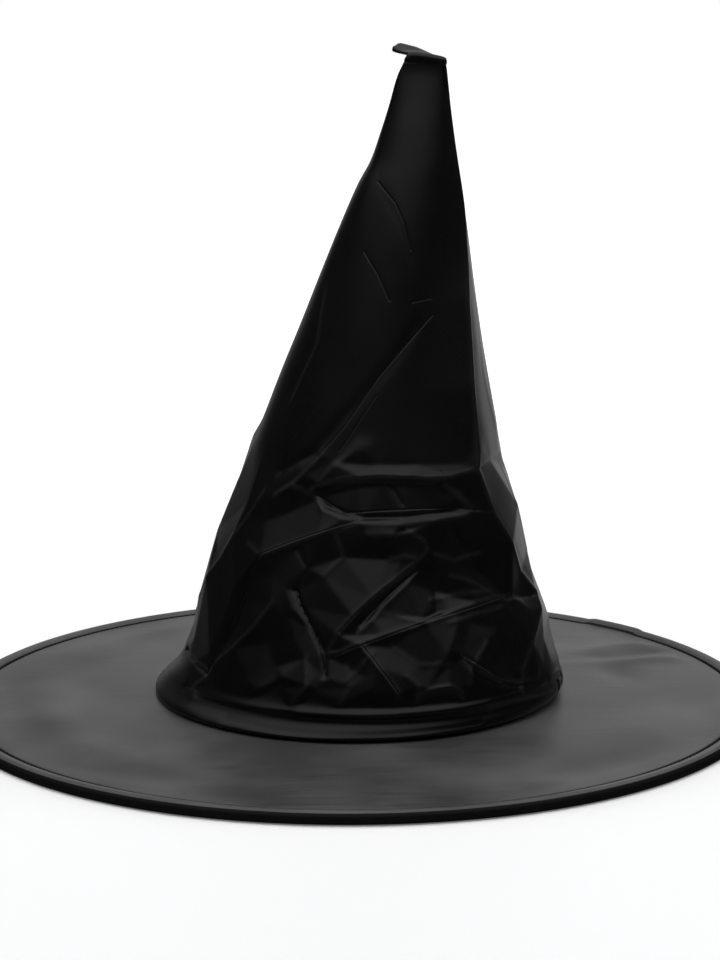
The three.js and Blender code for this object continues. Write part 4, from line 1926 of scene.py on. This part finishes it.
def strip(
    name: str, outer: np.ndarray, inner: np.ndarray, closed: bool, finish: Finish
) -> bpy.types.Object:
    """Makes a closed strip of ribbon from its two faces.

    Args:
        name: the piece's name.
        outer: its outer face, as stations along by points across, in mm.
        inner: its inner face, of the same shape.
        closed: whether it runs all the way round.
        finish: its finish.

    Returns:
        The strip.
    """
    section = np.concatenate([outer, inner[:, ::-1]], axis=1)
    stations, around = section.shape[:2]
    faces: list[tuple[int, ...]] = []
    cut: list[Pair] = []
    run = np.linalg.norm(np.roll(outer[:, 0], -1, 0) - outer[:, 0], axis=1)
    length = np.concatenate([[0.0], np.cumsum(run)]) * MM
    wide = np.linalg.norm(np.diff(section[0], axis=0, append=section[0][:1]), axis=1)
    width = np.concatenate([[0.0], np.cumsum(wide)]) * MM
    for s in range(stations if closed else stations - 1):
        t = (s + 1) % stations
        for a in range(around):
            b = (a + 1) % around
            faces.append((s * around + a, t * around + a, t * around + b, s * around + b))
            for along, across in ((s, a), (s + 1, a), (s + 1, a + 1), (s, a + 1)):
                cut.append((float(length[along]), float(width[across])))
    if not closed:
        last = (stations - 1) * around
        faces += [tuple(range(around)), tuple(range(last, last + around))[::-1]]
        cut += [(0.0, 0.0)] * (2 * around)
    return make_piece(name, section, faces, finish, cut)


@dataclass
class HeadBand:
    """The ribbon sewn round the inside of the head opening."""

    cloth: CrownCloth
    finish: Finish = Finishes().ribbon
    low: float = 10.2
    high: float = 31.0
    gap: float = 1.1
    thickness: float = 0.55
    stations: int = 240
    across: int = 8
    stitch_height: float = 12.6
    stitch_depth: float = 0.05

    def build(self) -> bpy.types.Object:
        """Makes the ribbon against the crown's inner face.

        Returns:
            The ribbon.
        """
        bearing = np.arange(self.stations) * 360.0 / self.stations
        height = np.linspace(self.low, self.high, self.across)
        b, z = np.meshgrid(bearing, height, indexing="ij")
        outer = self.cloth.inside(b, z, self.gap)
        inner = self.cloth.inside(b, z, self.gap + self.thickness)
        return report(strip("head_band", outer, inner, True, self.finish))

    def dress(self, piece: bpy.types.Object) -> None:
        """Hides the CAD node that the ribbon stands for, and attaches the ribbon to the lower body.

        Args:
            piece: the finished piece.
        """
        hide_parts("head_ribbon")
        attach(piece, Body.LOWER.value)

    def stitch_path(self) -> np.ndarray:
        """The line of stitches near the ribbon's lower edge.

        Returns:
            The line's points in mm.
        """
        bearing = np.arange(self.stations) * 360.0 / self.stations
        height = np.full(self.stations, self.stitch_height)
        return self.cloth.inside(bearing, height, self.gap + self.thickness + self.stitch_depth)


@dataclass
class SeamTape:
    """The ribbon that covers the raw edges of the back seam, inside the crown.

    The tape keeps its width, except where the crown reaches back less than the least reach.
    """

    cloth: CrownCloth
    finish: Finish = Finishes().ribbon
    half_width: float = 5.0
    low: float = 33.0
    high: float = 243.0
    gap: float = 1.1
    thickness: float = 0.5
    stations: int = 90
    across: int = 5
    least_reach: float = 12.0

    def _faces(self, depth: float) -> np.ndarray:
        """One face of the tape, at that depth inside the crown's outer face.

        Args:
            depth: the depth in mm.

        Returns:
            The face's points in mm.
        """
        height = np.linspace(self.low, self.high, self.stations)
        reach = self.cloth.form.back.at(height)
        offset = np.linspace(1.0, -1.0, self.across)
        spread = np.degrees(self.half_width / np.maximum(reach, self.least_reach))
        bearing = 180.0 + spread[:, None] * offset[None, :]
        level = np.repeat(height[:, None], self.across, 1)
        return self.cloth.inside(bearing, level, depth)

    def build(self) -> bpy.types.Object:
        """Makes the tape.

        Returns:
            The tape.
        """
        outer, inner = self._faces(self.gap), self._faces(self.gap + self.thickness)
        return report(strip("seam_tape", outer, inner, False, self.finish))

    def dress(self, piece: bpy.types.Object) -> None:
        """Hides the CAD nodes that the tape stands for, and bakes its place into its mesh.

        Args:
            piece: the finished piece.
        """
        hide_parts("back_seam_lower", "back_seam_fold", "back_seam_upper")
        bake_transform(piece)


# ---------------------------------------------------------------- stitching


@dataclass
class StitchRow:
    """A row of machine stitches along a closed path, with its sizes in mm."""

    name: str
    path: np.ndarray
    finish: Finish = Finishes().thread
    pitch: float = 3.2
    length: float = 2.5
    width: float = 1.1
    uneven: Pair = (0.9, 1.08)
    seed: int = 4

    def _tree(self) -> ShapeTree:
        """Builds the tree that lays stitches along the object's edges.

        Returns:
            The tree.
        """
        shape = ShapeTree(
            self.name + "_stitches",
            {
                "Pitch": ("NodeSocketFloat", self.pitch * MM),
                "Stitch Length": ("NodeSocketFloat", self.length * MM),
                "Thread Width": ("NodeSocketFloat", self.width * MM),
                "Seed": ("NodeSocketInt", self.seed),
                "Finish": ("NodeSocketMaterial", self.finish.material()),
            },
        )
        graph, given = shape.graph, shape.given
        line = graph.add("GeometryNodeMeshToCurve", None, {0: shape.source})
        spaced = graph.add(
            "GeometryNodeResampleCurve",
            {"mode": "LENGTH"},
            {"Curve": graph.out(line), "Length": given["Pitch"]},
        )
        ball = graph.add(
            "GeometryNodeMeshUVSphere", None, {"Segments": 8, "Rings": 5, "Radius": 0.5}
        )
        size = graph.vector(given["Stitch Length"], given["Thread Width"], given["Thread Width"])
        stitch = graph.add(
            "GeometryNodeTransform", None, {"Geometry": graph.out(ball), "Scale": size}
        )
        heading = graph.add(
            "FunctionNodeAlignRotationToVector",
            {"axis": "X"},
            {"Vector": graph.out(graph.add("GeometryNodeInputTangent"))},
        )
        uneven = graph.add(
            "FunctionNodeRandomValue",
            {"data_type": "FLOAT"},
            {2: self.uneven[0], 3: self.uneven[1], "Seed": given["Seed"]},
        )
        laid = graph.add(
            "GeometryNodeInstanceOnPoints",
            None,
            {
                "Points": graph.out(spaced),
                "Instance": graph.out(stitch),
                "Rotation": graph.out(heading),
                "Scale": graph.out(uneven, 1),
            },
        )
        shape.end(shape.painted(graph.out(laid), given["Finish"]))
        return shape

    def build(self) -> bpy.types.Object:
        """Makes the row.

        Returns:
            The stitches, as one plain mesh.
        """
        count = len(self.path)
        mesh = bpy.data.meshes.new("path")
        links = [(i, (i + 1) % count) for i in range(count)]
        mesh.from_pydata((self.path * MM).tolist(), links, [])
        holder = linked("path", mesh)
        self._tree().put_on(holder)
        piece = plain_copy(holder, self.name)
        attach(piece, Body.LOWER.value)
        return report(piece)


def level_ring(radius: float, height: float, points: int = 360) -> np.ndarray:
    """A level circle about the hat's centre line, as points in mm.

    Args:
        radius: its radius in mm.
        height: its height in mm.
        points: how many points it has.

    Returns:
        The points.
    """
    angle = np.arange(points) * 2 * math.pi / points
    return np.stack(
        [radius * np.cos(angle), radius * np.sin(angle), np.full(points, height)], axis=1
    )


# ---------------------------------------------------------------- the studio


@dataclass(frozen=True)
class Lamp:
    """A square soft light: its place, aim and size in metres, and its power in watts."""

    name: str
    place: Triple
    aim: Triple
    size: float
    power: float


@dataclass
class Studio:
    """The pale board, the soft light and the camera.

    The surroundings are pale behind the hat and overhead, and nearly dark towards the
    camera. The two fades say how far back, and how high up, their light begins and is full.
    The board's sizes and the lens are in mm, the camera's place is in metres and its turns
    are in radians.
    """

    board: Board = Finishes().board
    lamps: tuple[Lamp, ...] = (
        Lamp("overhead_softbox", (0.0, 0.25, 1.9), (0.0, 0.0, 0.1), 1.6, 21.0),
        Lamp("left_softbox", (-1.9, 0.5, 0.9), (0.0, 0.0, 0.15), 1.2, 10.0),
        Lamp("right_softbox", (1.9, 0.6, 0.9), (0.0, 0.0, 0.15), 1.2, 11.0),
    )
    backdrop: float = 1.0
    front_light: float = 0.02
    back_light: float = 0.46
    side_light: float = 0.6
    top_light: float = 0.7
    back_fade: Pair = (0.78, 0.98)
    top_fade: Pair = (0.36, 0.92)
    board_level: float = -0.3
    board_radius: float = 9000.0
    board_sides: int = 64
    camera_place: Triple = (0.00302, -1.2396, 0.3423)
    camera_pitch: float = 0.187
    camera_roll: float = -0.00466
    lens: float = 100.6

    def _world(self) -> None:
        """Makes the surroundings."""
        world = bpy.data.worlds.new("studio")
        bpy.context.scene.world = world
        world.use_nodes = True
        tree = world.node_tree
        tree.nodes.clear()
        graph = Graph(tree)
        x, y, z = graph.parts(graph.out(graph.add("ShaderNodeTexCoord"), "Generated"))
        around = y.smooth(*self.back_fade) * (x * self.side_light + self.back_light)
        around = around + self.front_light
        above = z.smooth(*self.top_fade)
        light = around * (1.0 - above) + above * self.top_light
        seen = graph.add("ShaderNodeBackground", None, {"Strength": self.backdrop})
        seen.inputs[0].default_value = (1.0, 1.0, 1.0, 1.0)
        lit = graph.add("ShaderNodeBackground", None, {"Strength": light})
        lit.inputs[0].default_value = (0.985, 0.99, 1.0, 1.0)
        ray = graph.out(graph.add("ShaderNodeLightPath"), "Is Camera Ray")
        both = graph.add(
            "ShaderNodeMixShader", None, {0: ray, 1: graph.out(lit), 2: graph.out(seen)}
        )
        end = graph.add("ShaderNodeOutputWorld")
        tree.links.new(both.outputs[0], end.inputs[0])

    def _board(self) -> None:
        """Lays the board that the hat stands on."""
        rim = level_ring(self.board_radius, self.board_level, self.board_sides)
        points = np.concatenate([[[0.0, 0.0, self.board_level]], rim])
        count = self.board_sides
        faces = [(0, 1 + i, 1 + (i + 1) % count) for i in range(count)]
        board = make_piece("pale_board", points, faces, self.board)
        board.visible_glossy = False

    def _light(self) -> None:
        """Hangs the soft lights."""
        for lamp in self.lamps:
            data = bpy.data.lights.new(lamp.name, "AREA")
            data.shape = "SQUARE"
            data.size = lamp.size
            data.energy = lamp.power
            made = linked(lamp.name, data)
            made.location = lamp.place
            aim = Vector(lamp.aim) - Vector(lamp.place)
            made.rotation_euler = aim.to_track_quat("-Z", "Y").to_euler()
            made.visible_glossy = False

    def _camera(self) -> None:
        """Sets up the camera."""
        data = bpy.data.cameras.new("camera")
        data.lens = self.lens
        data.sensor_width = 36.0
        data.clip_start = 0.05
        data.clip_end = 200.0
        camera = linked("camera", data)
        camera.location = self.camera_place
        camera.rotation_mode = "QUATERNION"
        tilt = Quaternion((1, 0, 0), math.pi / 2 - self.camera_pitch)
        camera.rotation_quaternion = tilt @ Quaternion((0, 0, 1), self.camera_roll)
        bpy.context.scene.camera = camera

    def build(self) -> None:
        """Sets up the surroundings, the board, the lights and the camera."""
        self._world()
        self._board()
        self._light()
        self._camera()
        bpy.context.scene.view_settings.view_transform = "Standard"


# ---------------------------------------------------------------- the hat


def main() -> None:
    """Builds the hat around its frame, piece by piece."""
    logging.basicConfig(level=logging.INFO, format="%(name)s: %(message)s")
    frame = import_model()
    finishes = Finishes()
    for node, finish in (("rim_hoop", finishes.hoop), ("hoop_sleeve", finishes.sleeve)):
        held = frame["nodes"][node].data.materials
        held.clear()
        held.append(finish.material())
        LOG.info("dressed %s", node)
    brim = Brim(finishes)
    brim.build()
    cloth = CrownCloth()
    crown = cloth.build()
    cloth.dress(crown)
    flap = TipFlap()
    flap.dress(flap.build())
    band = HeadBand(cloth)
    band.dress(band.build())
    tape = SeamTape(cloth)
    tape.dress(tape.build())
    over, under = (
        level_ring(brim.stitch_radius, height)
        for height in (brim.top_stitches, brim.under_stitches)
    )
    StitchRow("rim_stitches_top", over).build()
    StitchRow("rim_stitches_under", under, seed=9).build()
    StitchRow("band_stitches", band.stitch_path(), pitch=3.6, length=2.7, seed=6).build()
    Studio().build()


if __name__ == "__main__":
    main()
